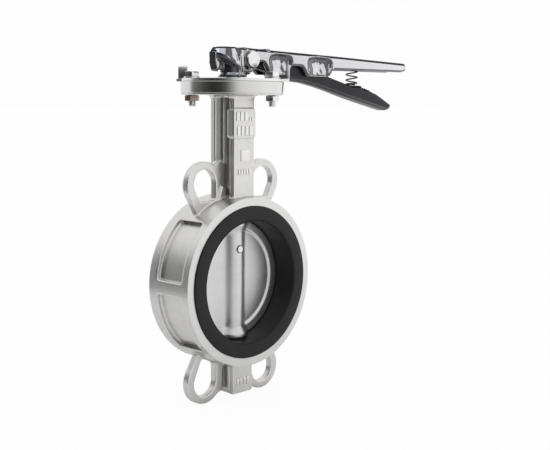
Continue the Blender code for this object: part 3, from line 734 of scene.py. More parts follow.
def machine_body(ob):
    for low, high in ((-60, -FACE), (FACE, 60)):
        cut(ob, prism("tool", rectangle(-120, 120, -95, 95), "Y", low, high))
    rim = rounded(rectangle(0, TOP_R, TOP_Z0 + 1.9, TOP_Z1), 0.55)
    join(ob, lathe("tool", rim, 256, phase=0.5))
    step = FACE - LIP_SEAT_D
    bore = [(0, -40), (LIP_SEAT_R, -40), (LIP_SEAT_R, -step), (LINER_SEAT_R, -step),
            (LINER_SEAT_R, step), (LIP_SEAT_R, step), (LIP_SEAT_R, 40), (0, 40)]
    cut(ob, lathe("tool", bore, 256, "Y", phase=0.5))
    cut(ob, lathe("tool", STEM_BORE, 64))
    cut_bolt_holes(ob, TOP_Z0 - 5, TOP_Z1 + 5)


def mark_boxes():
    """Raised blocks on the -Y side, as (x0, x1, y0, y1, z0, z1)."""
    boxes = []
    # rows on the pad: middle z, half height, block widths, where 0 is a short block
    for middle, half, widths in ((163.4, 4.4, (3.8, 4.4, 4.6, 0, 0)),
                                 (149.0, 4.6, (4.2, 3.6, 4.2, 4.6))):
        total = sum(width if width else 2.2 for width in widths) + 1.5 * (len(widths) - 1)
        left = -total / 2
        for width in widths:
            bottom = middle - half
            top = middle + half if width else bottom + 3.2
            right = left + (width if width else 2.2)
            boxes.append((left, right, -18.85, -17.9, bottom, top))
            left = right + 1.5
    boxes.append((-4.6, 7.2, -17.75, -16.9, 119.2, 130.4))
    boxes += [(-8.0 + 3.6 * i, -5.6 + 3.6 * i, -17.85, -16.9, 105.6, 111.4) for i in range(5)]
    boxes += [(-8.6 + 4.6 * i, -5.2 + 4.6 * i, -16.95, -15.9, -106.2, -98.4) for i in range(4)]
    return boxes


def raised_marks():
    blocks = [bevel(prism("mark", rectangle(x0, x1, z0, z1), "Y", y0, y1), 0.3)
              for x0, x1, y0, y1, z0, z1 in mark_boxes()]
    return reduce(join, blocks)


def paint_machined(ob):
    """Turned metal on the pipe faces, liner seat and top flange of the casting."""
    mesh = ob.data
    mesh.materials.clear()
    for material in (CAST, PIPE_FACE, TOP_FACE):
        mesh.materials.append(material)
    count = len(mesh.polygons)
    centre, normal = np.empty(count * 3, np.float32), np.empty(count * 3, np.float32)
    mesh.polygons.foreach_get("center", centre)
    mesh.polygons.foreach_get("normal", normal)
    centre = centre.reshape(-1, 3) / MM
    centre[:, 2] -= FOOT
    x, y, z = centre.T
    index = np.zeros(count)
    flat = np.abs(normal.reshape(-1, 3)[:, 1]) > 0.98
    index[(np.abs(np.abs(y) - FACE) < 0.08) & flat] = 1
    index[(np.hypot(x, z) < LIP_SEAT_R + 0.1) & (np.abs(y) < FACE + 0.1)] = 1
    index[(z > TOP_Z0 + 1.85) & (np.hypot(x, y) > TOP_R - 1.2)] = 2
    index[z > TOP_Z1 - 0.1] = 2
    mesh.polygons.foreach_set("material_index", index.astype(np.int32))
    mesh.update()


body = body_casting()
machine_body(body)
join(body, raised_marks())
dress(body, CAST, "housing", "valve_body", 28.0)
paint_machined(body)


# ================================================================ rubber liner
LIP_EDGE = 1.3                  # rounding from the bore to the lip


def seat_liner():
    liner_r = LINER_SEAT_R - GAP
    step, end = FACE - LIP_SEAT_D + GAP, FACE + LIP_PROUD
    inner = BORE_R + LIP_EDGE
    profile = rounded([(inner, -end), (LIP_R, -end), (LIP_R, -step), (liner_r, -step),
                       (liner_r, step), (LIP_R, step), (LIP_R, end), (inner, end)], 0.7)
    lip = [(inner - LIP_EDGE * math.sin(math.radians(t)),
            end - LIP_EDGE * (1 - math.cos(math.radians(t)))) for t in range(12, 91, 13)]
    profile += lip + [(radius, -along) for radius, along in reversed(lip)]
    ob = lathe("seat_liner_moulding", profile, 256, "Y", phase=0.5)
    # round pads where the stem passes through
    for side in (1, -1):
        low, high = sorted((side * (DISC_TIP + GAP), side * 66.0))
        join(ob, lathe("tool", rounded(rectangle(0, 14.0, low, high), 0.9), 72))
    return cut(ob, rod(8.0, -75, 75, 48))


dress(seat_liner(), RUBBER, "housing", "seat_liner", 35.0)


# ================================================================ disc
def disc_casting():
    grid = Grid((-61.8, -15.6, -59.4), (61.8, 15.6, 59.4), 0.6)
    x, y, z = grid.x, grid.y, grid.z
    abs_y, abs_z = np.abs(y), np.abs(z)
    sphere = reach(x, y, z) - DISC_R
    # plate, with a raised band round the rim
    shape = trim(abs_y - 2.4, sphere - 0.1, 0.8)
    band = trim(trim(abs_y - 3.9, sphere - 0.1, 0.8), (50.5 - reach(x, z)) * 0.8, 1.6)
    shape = merge(shape, band, 1.2)
    # hub along the stem, flared at both ends
    hub_r = 11.6 + 3.0 * np.clip((abs_z - 47.5) / 7.0, 0.0, 1.0) ** 1.3
    shape = merge(shape, reach(x, y) - hub_r, 5.5)
    shape = trim(shape, abs_z - DISC_TIP, 0.5)
    # keep the whole casting inside the sphere it turns in
    return surface("disc_casting", grid, common(shape, sphere - 0.25))


disc = disc_casting()
cut(disc, rod(STEM_R + GAP, -75, 75, 64))
pin_hole = rounded([(0, -20), (4.25, -20), (3.5, 20), (0, 20)], 0.01, 1)
cut(disc, lathe("tool", pin_hole, 40, "Y", (0, 0, PIN_Z)))
dress(disc, DISC_CAST, "stem_and_lever", "disc", 34.0)

pin_profile = rounded([(0, -12.7), (3.55, -12.7), (3.1, 12.3), (0, 12.3)], 0.9, 5)
dress(lathe("disc_taper_pin_turned", pin_profile, 40, "Y", (0, 0, PIN_Z)),
      BRIGHT, "stem_and_lever", "disc_taper_pin")


# ================================================================ stem and the parts round it
def stem_turned():
    # grooves for the two O-rings and the retaining ring
    profile = [(0, -103.5), (STEM_R, -103.5)]
    for floor_r, low, high in ([(5.9, z - 1.2, z + 1.2) for z in ORING_Z.values()]
                               + [(6.0, 192.9, 194.8)]):
        profile += [(STEM_R, low), (floor_r, low), (floor_r, high), (STEM_R, high)]
    profile += [(STEM_R, 227.4), (0, 227.4)]
    ob = lathe("stem_turned", rounded(profile, 0.35, 2), 64)
    # four flats for the lever
    for i in range(4):
        cosine, sine = math.cos(math.radians(90 * i)), math.sin(math.radians(90 * i))
        flat = [(u * cosine - v * sine, u * sine + v * cosine)
                for u, v in rectangle(5.6, 12, -12, 12)]
        cut(ob, prism("tool", flat, "Z", 203.0, 240.0))
    hole = [(0, -20), (3.9, -20), (3.4, 20), (0, 20)]
    return cut(ob, lathe("tool", hole, 40, "Y", (0, 0, PIN_Z)))


def sleeve(name, inner, outer, low, high, edge):
    return lathe(name, rounded(rectangle(inner, outer, low, high), edge, 3), 72)


def split_ring(name, outer, inner, axis, low, high):
    return bevel(prism(name, outer + inner, axis, low, high), 0.15)


dress(stem_turned(), BRIGHT, "stem_and_lever", "stem")
for level, low, high in (("lower", -85.9, -68.9), ("middle", 68.9, 85.9),
                         ("upper", 176.8, 190.9)):
    dress(sleeve(level + "_bushing_turned", 7.8, 10.0, low, high, 0.4),
          PTFE, "housing", level + "_bushing")
for level, z in ORING_Z.items():
    section = [(7.0 + 0.72 * math.cos(2 * math.pi * i / 14),
                z + 0.72 * math.sin(2 * math.pi * i / 14)) for i in range(14)]
    dress(lathe("stem_oring_%s_moulded" % level, section, 72), RUBBER, "stem_and_lever",
          "stem_oring_" + level, 60.0)
dress(sleeve("thrust_washer_stamped", 7.8, 13.0, 191.3, 192.5, 0.2),
      BRIGHT, "housing", "thrust_washer")
dress(split_ring("stem_retaining_ring_stamped", arc(0, 0, 11.0, 20, 340, 60),
                 arc(0, 0, 6.3, 330, 30, 44), "Z", 193.2, 194.5),
      SPRING_STEEL, "stem_and_lever", "stem_retaining_ring")


# ================================================================ notch plate
TEETH, TEETH_START, TEETH_END = 10, -14.0, 104.0
# one notch: (fraction of the pitch, radius)
NOTCH = ((0.0, TOOTH_R), (0.15, TOOTH_R), (0.30, TOOTH_R), (0.40, ROOT_R + 0.8),
         (0.43, ROOT_R), (0.57, ROOT_R), (0.60, ROOT_R + 0.8), (0.70, TOOTH_R),
         (0.85, TOOTH_R))


def upturned_tab(angle, start, end, radial, top):
    """An L profile with a bend, swept from start to end along the radius if radial,
    else along the plate's edge."""
    thick, sheet, bend = 2.4, 2.7, 1.2      # standing leg, flat leg, inside of the bend
    outside = bend + thick
    height = top - PLATE_Z0
    turns = [math.radians(k) for k in range(15, 91, 15)]
    # (across the standing leg, height over the plate's underside)
    section = [(-5.0, 0.0), (-outside, 0.0)]
    section += [(-outside + outside * math.sin(a), outside * (1 - math.cos(a)))
                for a in turns]
    section += [(0.0, height - 1.6), (-0.5, height - 0.5), (-1.2, height),
                (-thick + 0.5, height), (-thick, height - 0.7), (-thick, bend + sheet)]
    section += [(-outside + bend * math.cos(a), sheet + bend - bend * math.sin(a))
                for a in turns]
    section += [(-5.0, sheet)]
    cosine, sine = math.cos(math.radians(angle)), math.sin(math.radians(angle))
    outward, around = Vector((cosine, sine, 0)), Vector((-sine, cosine, 0))
    verts = []
    for sweep in (start, end):
        for across, rise in section:
            if radial:
                point = outward * sweep + around * (across + 1.2)
            else:
                point = around * sweep + outward * (TOOTH_R - 0.3 + across)
            verts.append((point.x, point.y, PLATE_Z0 + rise))
    return mesh_object("tool", verts, prism_faces(len(section)))


def notch_plate():
    edge = []
    pitch = (TEETH_END - TEETH_START) / TEETH
    for i in range(TEETH):
        for fraction, radius in NOTCH:
            turn = math.radians(TEETH_START + i * pitch + fraction * pitch)
            edge.append((radius * math.cos(turn), radius * math.sin(turn)))
    edge += arc(0, 0, TOOTH_R, TEETH_END, 124, 10)
    edge += arc(0, 0, 50.0, 127, 302, 110)
    edge += arc(0, 0, TOOTH_R, 306, 344, 20)
    ob = prism("notch_plate_pressed", edge, "Z", PLATE_Z0, PLATE_Z1)
    join(ob, upturned_tab(118.0, start=47.0, end=TOOTH_R - 0.4, radial=True, top=213.4))
    join(ob, upturned_tab(-44.0, start=-5.0, end=5.0, radial=False, top=214.3))
    cut(ob, rod(10.5, 190, 205, 72))
    cut_bolt_holes(ob, 190, 205)
    return bevel(ob, 0.22, 40)


dress(notch_plate(), PLATE, "housing", "notch_plate", 30.0)

# ================================================================ bolts and nuts
BOLT_R, THREAD_PITCH = 4.0, 1.25
THREAD_SIDES, ROWS_PER_TURN = 40, 8
HEX_R = 13.0 / math.sqrt(3.0)   # corner radius, 13 across the flats
WASHER_Z, WASHER_T = PLATE_Z1 + GAP, 1.6
HEAD_Z = WASHER_Z + WASHER_T + GAP


def threaded(low, high, centre):
    """A solid rod with a real helical thread, tapered off at both ends."""
    rows, sides = int((high - low) / THREAD_PITCH * ROWS_PER_TURN), THREAD_SIDES
    verts, faces = [], []
    for i in range(rows + 1):
        z = low + (high - low) * i / rows
        fade = max(0.0, min(1.0, (z - low) / 0.9, (high - z) / 0.9))
        for k in range(sides):
            turn = 2 * math.pi * k / sides
            phase = ((z - low) / THREAD_PITCH - k / sides) % 1.0
            crest = max(0.0, min(1.0, (1 - abs(2 * phase - 1)) * 1.35 - 0.12))
            radius = (BOLT_R - 0.55 * THREAD_PITCH * 0.9 * (1 - crest) * fade
                      - (1 - fade) * 0.7)
            verts.append((centre[0] + radius * math.cos(turn),
                          centre[1] + radius * math.sin(turn), z))
    for i in range(rows):
        this, after = i * sides, (i + 1) * sides
        for k in range(sides):
            j = (k + 1) % sides
            faces.append((this + k, this + j, after + j, after + k))
    faces.append(tuple(reversed(range(sides))))
    faces.append(tuple(range(rows * sides, (rows + 1) * sides)))
    return mesh_object("tool", verts, faces, recalculate=False)


def hexagon(name, centre, low, high, turn, both=False):
    """Hexagon with its top corners chamfered, and the bottom ones if both."""
    angles = [math.radians(60 * i + turn) for i in range(6)]
    corners = [(centre[0] + HEX_R * math.cos(a), centre[1] + HEX_R * math.sin(a))
               for a in angles]
    ob = prism(name, corners, "Z", low, high)
    under = 0.9 if both else 0.0
    cone = [(0, low - 0.001), (HEX_R - under * 1.25, low - 0.001),
            (HEX_R + 0.05, low + under * 0.75 + 0.01), (HEX_R + 0.05, high - 0.75),
            (HEX_R - 1.15, high + 0.001), (0, high + 0.001)]
    combine(ob, lathe("tool", cone, 72, centre=centre), "INTERSECT")
    return bevel(ob, 0.12, 35)


for side, angle, nut_metal, nut_turn in (("left", 135.0, OLD_ZINC, 34),
                                         ("right", 315.0, ZINC, 50)):
    centre = bolt_centre(angle)
    washer = rounded(rectangle(4.3, 8.2, WASHER_Z, WASHER_Z + WASHER_T), 0.25, 3)
    dress(lathe("plate_washer_%s_stamped" % side, washer, 64, centre=centre),
          ZINC, "housing", "plate_washer_" + side)
    bolt = hexagon("plate_bolt_%s_threaded" % side, centre, HEAD_Z, HEAD_Z + 5.0, 48)
    join(bolt, threaded(172.6, HEAD_Z + 2.5, centre))
    dress(bolt, ZINC, "housing", "plate_bolt_" + side)
    nut = hexagon("plate_nut_%s_chamfered" % side, centre, 178.0, TOP_Z0 - GAP, nut_turn,
                  both=True)
    nut_bore = rounded(rectangle(0, 4.25, 170, 190), 0.01, 1)
    cut(nut, lathe("tool", nut_bore, 48, centre=centre))
    dress(nut, nut_metal, "housing", "plate_nut_" + side)

# ================================================================ lever
# Side outlines are (x, z).
LEVER_TOP = [(TIP_X, 223.0), (150.0, 226.9), (60.0, 229.2), (22.0, 230.4), (6.0, 231.0)]
LEVER_UNDER = [
    (4.6, 226.0), (4.6, 214.0), (9.0, 213.6), (10.5, 207.0), (13.3, 206.0), (15.5, 206.6),
    (24.5, 216.2), (27.0, 217.2), (31.0, 217.2), (33.5, 216.2), (40.8, 207.4), (44.0, 205.0),
    (66.0, 205.0), (69.4, 206.4), (73.6, 213.2), (76.0, 214.6), (88.0, 214.6), (91.0, 213.4),
    (97.4, 205.8), (101.0, 204.3), (131.0, 204.3), (135.5, 206.2), (138.5, 210.4),
    (142.0, 212.2), (262.0, 212.4), (TIP_X, 214.2)]
HEAD_SKIRT = [
    (-40.0, 231.0), (-40.0, 226.5), (-27.0, 222.6), (-18.0, 218.0), (-9.0, 212.6),
    (2.0, 208.4), (9.0, 206.6), (12.5, 206.6), (12.5, 231.0)]
CLAW = [
    (-17.0, 229.4), (-24.6, 229.4), (-26.8, 226.6), (-26.6, 219.0), (-24.2, 211.0),
    (-22.6, 206.9), (-21.2, 206.6), (-19.6, 208.2), (-11.0, 208.6), (-11.0, 222.0)]
CLAW_BACK = [
    (-17.0, 226.0), (-27.9, 226.0), (-27.6, 216.0), (-25.4, 208.6), (-23.6, 207.0),
    (-22.2, 208.6), (-20.4, 214.0), (-17.5, 219.0)]
# x, z, radius
FOOT_LUMPS = ((7.2, 208.2, 2.2), (10.6, 206.2, 2.0), (13.4, 208.6, 1.8))
# outline and z of the deepest point
THUMB_POCKETS = (
    ([(44.0, 203.0), (67.0, 203.0), (70.6, 209.0), (73.4, 214.6), (74.4, 219.0),
      (72.6, 223.8), (67.0, 226.2), (48.0, 226.8), (42.0, 224.8), (39.2, 219.6),
      (40.6, 211.0)], 207.0 + 12.6),
    ([(100.6, 203.0), (131.6, 203.0), (135.2, 208.6), (137.4, 214.0), (137.4, 219.0),
      (134.6, 223.4), (129.0, 225.2), (106.0, 225.7), (99.6, 223.8), (97.2, 219.0),
      (97.2, 210.6)], 206.2 + 12.6))
CHANNEL = [
    (17.6, 190.0), (TIP_X - 3.0, 190.0), (TIP_X - 3.0, 219.6), (150.0, 223.4), (60.0, 225.7),
    (9.2, 226.9), (9.2, 213.0), (17.6, 209.0)]


def grip_field(x, abs_y, z):
    """The long grip and its legs, with the top edges chamfered."""
    grip = extrude(outline(LEVER_TOP + LEVER_UNDER, x, z), abs_y - LEVER_Y, 2.2)
    edge_x, edge_z = zip(*reversed(LEVER_TOP))
    top = np.interp(x, edge_x, edge_z) + 3.0 * np.clip((12.0 - x) / 6.0, 0.0, 1.0)
    return trim(grip, ((abs_y - LEVER_Y) + (z - top) + 2.7) * 0.7071, 1.2)


def head_field(x, y, z):
    """Rounded head, with a skirt that slants down from the -X end to the hub."""
    rise = np.clip(z - (213.5 - 0.46 * x), 0.0, 30.0)
    oval = (reach((x + 8.6) / 18.2, y / 15.0) - 1.0) * 14.6 + 0.26 * rise
    return trim(oval, outline(HEAD_SKIRT, x, z), 2.2)


def thumb_pocket(x, abs_y, z, points, deepest_z):
    """Scoop with a faintly wavy floor."""
    middle_x = sum(point[0] for point in points) / len(points)
    depth = (4.6 * (1.0 - ((z - deepest_z) / np.where(z > deepest_z, 9.4, 20.0)) ** 2)
             - 1.5 * ((x - middle_x) / 15.0) ** 2)
    depth = (depth + 0.11 * np.sin(0.62 * (x - middle_x) + 0.9)
             + 0.10 * np.sin(0.50 * (z - deepest_z) + 0.35 * (x - middle_x)))
    return extrude(outline(points, x, z), (LEVER_Y - depth) - abs_y, 4.4)


def lever_casting():
    grid = Grid((-30.5, -18.9, 199.6), (273.0, 18.9, 233.5), 0.55)
    x, y, z = grid.x, grid.y, grid.z
    abs_y = np.abs(y)
    shape = grip_field(x, abs_y, z)
    # hub over the stem's square, with its foot
    from_stem = reach(x, y)
    shape = merge(shape, extrude(from_stem - 13.7, span(z, 215.2, 13.4), 0.8), 1.6)
    shape = merge(shape, extrude(from_stem - 14.4, span(z, 203.2, 1.5), 0.7), 1.4)
    shape = merge(shape, head_field(x, y, z), 1.2)
    claw_y = abs_y - 3.4 + 0.06 * np.clip(222.0 - z, 0.0, 20.0)
    shape = merge(shape, extrude(outline(CLAW, x, z), claw_y, 1.0), 1.4)
    for lump_x, lump_z, radius in FOOT_LUMPS:
        lump = reach(x - lump_x, abs_y - 12.0, z - lump_z) - radius
        shape = merge(shape, lump, 1.0)
    # low ridge on the top edge
    ridge = common(span(x, 39.0, 2.6), span(z, 229.8, 0.9))
    shape = merge(shape, extrude(ridge, abs_y - 12.4, 0.7), 1.2)
    shape = merge(shape, extrude(outline(CLAW_BACK, x, z), abs_y - 4.6, 1.2), 1.5)
    # an upright rib each side of the hub
    rib = extrude(reach(x + 3.0, abs_y - 12.4) - 1.9, span(z, 212.5, 10.0), 0.8)
    shape = merge(shape, rib, 2.2)
    # boss round the pivot pin
    boss = extrude(reach(x - PIVOT_X, z - PIVOT_Z) - 9.4, abs_y - 13.1, 0.8)
    shape = merge(shape, boss, 1.2)
    for points, deepest_z in THUMB_POCKETS:
        shape = carve(shape, thumb_pocket(x, abs_y, z, points, deepest_z), 1.7)
    # channel under the grip, narrower between the legs
    half = 7.6 + 2.4 * np.clip((x - 140.0) / 6.0, 0.0, 1.0)
    shape = carve(shape, extrude(outline(CHANNEL, x, z), abs_y - half, 1.2), 0.7)
    return surface("lever_handle_casting", grid, shape)


def pivot_hole():
    return rod(PIVOT_HOLE_R, -30, 30, 40, "Y", (PIVOT_X, 0, PIVOT_Z))


SQUARE_HALF = 5.9
SCREW_CENTRE = (0, 0, SCREW_Z)
lever = lever_casting()
cut(lever, prism("tool", rectangle(SQUARE_HALF, -SQUARE_HALF, SQUARE_HALF, -SQUARE_HALF),
                 "Z", 203.0, 227.7))
cut(lever, rod(STEM_R + GAP, 190, 203.3, 48))
cut(lever, pivot_hole())
cut(lever, rod(3.3, 5.0, 30, 32, "Y", SCREW_CENTRE))
dress(lever, GLOSS, "stem_and_lever", "lever_handle", 40.0)

screw = lathe("lever_set_screw_threaded", rounded(rectangle(0, 3.0, 5.95, 13.0), 0.4, 3), 40,
              "Y", SCREW_CENTRE)
cut(screw, rod(1.75, 10.2, 15.0, 6, "Y", SCREW_CENTRE))
dress(screw, BLACK_OXIDE, "stem_and_lever", "lever_set_screw")

# (radius, y): head, shank, clip groove and end
PIVOT_PROFILE = [(0, -15.9), (8.0, -15.9), (8.0, -13.3), (3.0, -13.3), (3.0, 13.5),
                 (2.4, 13.5), (2.4, 14.9), (3.0, 14.9), (3.0, 16.2), (0, 16.2)]
dress(lathe("trigger_pivot_pin_turned", rounded(PIVOT_PROFILE, 0.55), 72, "Y",
            (PIVOT_X, 0, PIVOT_Z)),
      ZINC, "stem_and_lever", "trigger_pivot_pin")
dress(split_ring("pivot_pin_clip_stamped", arc(PIVOT_X, PIVOT_Z, 6.0, 25, 335, 50),
                 arc(PIVOT_X, PIVOT_Z, 2.7, 325, 35, 30), "Y", 13.7, 14.7),
      SPRING_STEEL, "stem_and_lever", "pivot_pin_clip")

# ================================================================ trigger
# (x, z) round the pivot, out along the underside, back over the top
TRIGGER_OUTLINE = arc(PIVOT_X, PIVOT_Z, 5.4, 75, 285, 24) + [
    (24.0, 212.2), (47.6, 207.6), (51.4, 201.6), (52.6, 200.5), (55.6, 200.5), (57.0, 201.4),
    (60.5, 203.0), (66.0, 199.6), (74.0, 198.9), (88.0, 198.6), (100.0, 197.6), (120.0, 194.2),
    (140.0, 189.9), (156.0, 186.2), (172.0, 182.6), (196.0, 177.4), (219.0, 172.7),
    (232.0, 169.9), (241.0, 168.2), (246.4, 169.4), (249.2, 173.6), (248.4, 175.6),
    (245.0, 177.0), (234.0, 182.4), (221.0, 188.0), (205.0, 191.8), (196.4, 193.4),
    (195.2, 196.1), (176.8, 196.2), (161.0, 200.4), (150.0, 203.2), (139.0, 206.2),
    (120.0, 210.8), (100.0, 215.0), (80.0, 217.8), (60.0, 219.8), (30.0, 222.6)]
# hollows open to the top, on either side of the spring seat
TRIGGER_HOLLOWS = (
    [(72.0, 206.0), (100.0, 201.8), (140.0, 193.9), (170.0, 187.4), (170.0, 240.0),
     (72.0, 240.0)],
    [(214.0, 178.2), (240.0, 172.6), (240.0, 200.0), (214.0, 200.0)])


def trigger_pressing():
    grid = Grid((7.5, -10.8, 166.0), (251.5, 10.8, 227.0), 0.55)
    x, z, abs_y = grid.x, grid.z, np.abs(grid.y)
    half = 7.0 + 2.2 * np.clip((x - 141.0) / 34.0, 0.0, 1.0)
    shape = trim(outline(TRIGGER_OUTLINE, x, z), abs_y - half, 5.4)
    for hollow in TRIGGER_HOLLOWS:
        inside = extrude(outline(hollow, x, z), abs_y - (half - 2.2), 1.4)
        shape = carve(shape, inside, 0.8)
    # ridges across the top, beyond the spring
    for i in range(4):
        ridge_x = 198.6 + 3.6 * i
        ridge_z = 193.0 - 0.24 * (ridge_x - 198.6)
        ridge = reach(x - ridge_x, z - ridge_z) - 1.0
        shape = merge(shape, extrude(ridge, abs_y - 6.6, 0.4), 0.6)
    return surface("trigger_pressing", grid, shape)


trigger = trigger_pressing()
cut(trigger, pivot_hole())
dress(trigger, SATIN, "trigger", "trigger", 40.0)


# ================================================================ spring
def coil_path():
    """Centre line of the wire, with nearly closed turns at both ends."""
    bottom, top = SPRING_Z0 + SPRING_WIRE, SPRING_Z1 - SPRING_WIRE
    dead, close_pitch = 0.8, 2.2 * SPRING_WIRE      # closed turns at each end, their pitch
    height = top - bottom
    lift = height - 2 * dead * close_pitch
    count = int(SPRING_TURNS * 40)
    path = []
    for i in range(count + 1):
        turn = SPRING_TURNS * i / count
        if turn < dead:
            rise = turn * close_pitch
        elif turn > SPRING_TURNS - dead:
            rise = height - (SPRING_TURNS - turn) * close_pitch
        else:
            rise = dead * close_pitch + lift * (turn - dead) / (SPRING_TURNS - 2 * dead)
        angle = 2 * math.pi * turn
        path.append(Vector((SPRING_X + SPRING_R * math.cos(angle),
                            SPRING_R * math.sin(angle), bottom + rise)))
    return path


def wound_spring():
    path, sides = coil_path(), 14
    last = len(path) - 1
    verts, faces = [], []
    for i, point in enumerate(path):
        ahead = (path[min(i + 1, last)] - path[max(i - 1, 0)]).normalized()
        beside = ahead.cross(Vector((0, 0, 1))).normalized()
        above = beside.cross(ahead).normalized()
        for k in range(sides):
            turn = 2 * math.pi * k / sides
            offset = beside * math.cos(turn) + above * math.sin(turn)
            verts.append(tuple(point + offset * SPRING_WIRE))
    for i in range(last):
        this, after = i * sides, (i + 1) * sides
        for k in range(sides):
            j = (k + 1) % sides
            faces.append((this + k, this + j, after + j, after + k))
    faces.append(tuple(reversed(range(sides))))
    faces.append(tuple(range(last * sides, (last + 1) * sides)))
    return mesh_object("trigger_spring_wound", verts, faces)


spring = wound_spring()
dress(spring, SPRING_STEEL, "stem_and_lever", "trigger_spring", 60.0)
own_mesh(spring)

# ================================================================ floor
FLOOR_Z = -0.0056               # metres
SWEEP_R = 0.5                   # metres, where the floor ends for reflections


def floor_material():
    """White floor, mostly self-lit to the camera."""
    material, sh = new_material("studio_floor_white")
    sh.tree.nodes.clear()
    output = sh.add("ShaderNodeOutputMaterial")
    diffuse = sh.add("ShaderNodeBsdfDiffuse", {"Color": (0.93, 0.93, 0.93)}).outputs[0]
    glow = sh.add("ShaderNodeEmission", {"Color": (1, 1, 1), "Strength": 1.0}).outputs[0]
    camera_ray = sh.add("ShaderNodeLightPath").outputs["Is Camera Ray"]
    lit = sh.mix_shader(sh.times(camera_ray, 0.93), diffuse, glow)
    # past the edge of the sweep, reflections see the studio and not the floor
    position = sh.add("ShaderNodeNewGeometry").outputs["Position"]
    distance = sh.add("ShaderNodeVectorMath", {0: position}, operation="LENGTH")
    far = sh.times(sh.maths("GREATER_THAN", distance.outputs["Value"], SWEEP_R),
                   sh.maths("SUBTRACT", 1.0, camera_ray))
    clear = sh.add("ShaderNodeBsdfTransparent").outputs[0]
    sh.feed(output.inputs["Surface"], sh.mix_shader(far, lit, clear))
    return material


def studio_floor():
    mesh = bpy.data.meshes.new("studio_floor")
    work = bmesh.new()
    bmesh.ops.create_grid(work, x_segments=8, y_segments=8, size=30.0)
    work.to_mesh(mesh)
    work.free()
    ob = link(bpy.data.objects.new("studio_floor", mesh))
    ob.location = (0, 0, FLOOR_Z)
    mesh.materials.append(floor_material())


studio_floor()

# ================================================================ camera
AZIMUTH, ELEVATION, ROLL = math.radians(-46.37), math.radians(5.03), math.radians(0.35)
# distance back from the bore centre, then the slide to the left and down
BACK_OFF, SLIDE_SIDE, SLIDE_UP = 1008.18, -43.61, -90.68

toward = Vector((-math.sin(AZIMUTH) * math.cos(ELEVATION),
                 math.cos(AZIMUTH) * math.cos(ELEVATION), -math.sin(ELEVATION)))
right = Vector((math.cos(AZIMUTH), math.sin(AZIMUTH), 0.0))
nearer = Vector((math.sin(AZIMUTH), -math.cos(AZIMUTH), 0.0))   # level, to the camera


def add_camera():
    level_up = right.cross(toward)
    side = right * math.cos(ROLL) + level_up * math.sin(ROLL)
    above = -right * math.sin(ROLL) + level_up * math.cos(ROLL)
    eye = -toward * BACK_OFF - side * SLIDE_SIDE - above * SLIDE_UP
    data = bpy.data.cameras.new("camera")
    camera = link(bpy.data.objects.new("camera", data))
    data.sensor_width = 36.0
    data.lens = 65.4545455
    data.shift_y = -0.0664363636
    data.clip_start = 0.05
    data.clip_end = 100.0
    camera.matrix_world = Matrix(((side.x, above.x, -toward.x, eye.x * MM),
                                  (side.y, above.y, -toward.y, eye.y * MM),
                                  (side.z, above.z, -toward.z, (eye.z + FOOT) * MM),
                                  (0, 0, 0, 1)))
    bpy.context.scene.camera = camera


add_camera()

# ================================================================ world
# Brightness round the stem: (degrees from the camera, + to its right; grey)
PANELS = ((-180, 0.80), (-106, 0.80), (-98, 0.30), (-94, 0.17), (-84, 0.13), (-62, 0.06),
          (-44, 0.025), (-24, 0.03), (-9, 0.09), (0, 0.26), (10, 0.50), (20, 0.68), (45, 0.78),
          (80, 0.90), (130, 0.92), (150, 0.90), (180, 0.80))


def studio_world():
    """White to the camera, and a soft studio of panels round the object."""
    world = bpy.data.worlds.new("studio")
    bpy.context.scene.world = world
    world.use_nodes = True
    sh = Shader(world.node_tree)
    sh.tree.nodes.clear()
    direction = sh.add("ShaderNodeTexCoord").outputs["Generated"]
    sideways, back, height = [
        sh.add("ShaderNodeVectorMath", {0: direction, 1: axis},
               operation="DOT_PRODUCT").outputs["Value"]
        for axis in (tuple(right), tuple(nearer), (0, 0, 1))]
    angle = sh.maths("ARCTAN2", sideways, back)
    turn = sh.plus(sh.maths("DIVIDE", angle, 2 * math.pi), 0.5)
    panels = sh.ramp(turn, [(degrees / 360.0 + 0.5, grey) for degrees, grey in PANELS])
    # toward the zenith the panels give way to an even ceiling
    ceiling = sh.ramp(height, [(0.28, 0.0), (0.62, 1.0)])
    studio = sh.mix(ceiling, panels, (0.86, 0.86, 0.86))
    lighting = sh.add("ShaderNodeBackground", {"Color": studio, "Strength": 1.2}).outputs[0]
    backdrop = sh.add("ShaderNodeBackground", {"Color": (1, 1, 1), "Strength": 0.985}).outputs[0]
    camera_ray = sh.add("ShaderNodeLightPath").outputs["Is Camera Ray"]
    sh.add("ShaderNodeOutputWorld",
           {"Surface": sh.mix_shader(camera_ray, lighting, backdrop)})


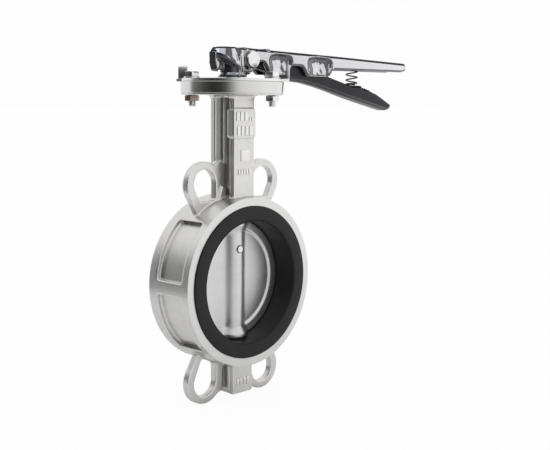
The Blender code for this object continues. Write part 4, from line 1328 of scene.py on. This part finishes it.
studio_world()
bpy.context.scene.view_settings.view_transform = "Standard"
bpy.context.scene.view_settings.look = "None"

# ================================================================ lights
# Soft boxes that only the lever or the trigger picks up.
COOL, NEUTRAL = (0.86, 0.90, 1.0), (0.97, 0.97, 1.0)
GRIP, HEAD = (110.0, 0.0, 215.0), (-8.0, 0.0, 222.0)    # aimed at, millimetres
# name, degrees round from the camera (+ to its right), elevation, distance, width and
# height in metres, radiance, tint, lit piece, target
SOFT_BOXES = (
    ("box_side", 97, 15, 2.2, 1.02, 1.25, 4.3, NEUTRAL, "lever", GRIP),
    ("box_strip", 42, 8, 2.2, 0.60, 1.0, 4.2, (0.86, 0.89, 1.0), "lever", HEAD),
    ("box_high_left", -58, 38, 2.2, 2.6, 1.3, 3.6, COOL, "lever", HEAD),
    ("box_high_front", 2, 38, 2.2, 2.4, 1.3, 4.6, COOL, "lever", HEAD),
    ("box_behind", -142, 18, 2.2, 3.3, 1.5, 4.6, COOL, "lever", HEAD),
    ("box_low", 95, -42, 1.6, 1.6, 0.8, 3.5, NEUTRAL, "trigger", GRIP))
receivers = {}
for piece, ob in (("lever", lever), ("trigger", trigger)):
    receivers[piece] = bpy.data.collections.new("lit_" + piece)
    receivers[piece].objects.link(ob)


def soft_box(name, around, elevation, distance, width, height, radiance, tint, piece, target):
    """A rectangular panel facing its target."""
    turn, lift = math.radians(around), math.radians(elevation)
    level = nearer * math.cos(turn) + right * math.sin(turn)
    direction = level * math.cos(lift) + Vector((0, 0, math.sin(lift)))
    data = bpy.data.lights.new(name, "AREA")
    data.shape = "RECTANGLE"
    data.size = width
    data.size_y = height
    data.energy = radiance * math.pi * width * height
    data.color = tint
    ob = link(bpy.data.objects.new(name, data))
    aim = Vector((target[0] * MM, target[1] * MM, (target[2] + FOOT) * MM))
    ob.location = aim + direction * distance
    ob.rotation_euler = direction.to_track_quat("Z", "Y").to_euler()
    ob.visible_camera = False
    ob.light_linking.receiver_collection = receivers[piece]


for row in SOFT_BOXES:
    soft_box(*row)
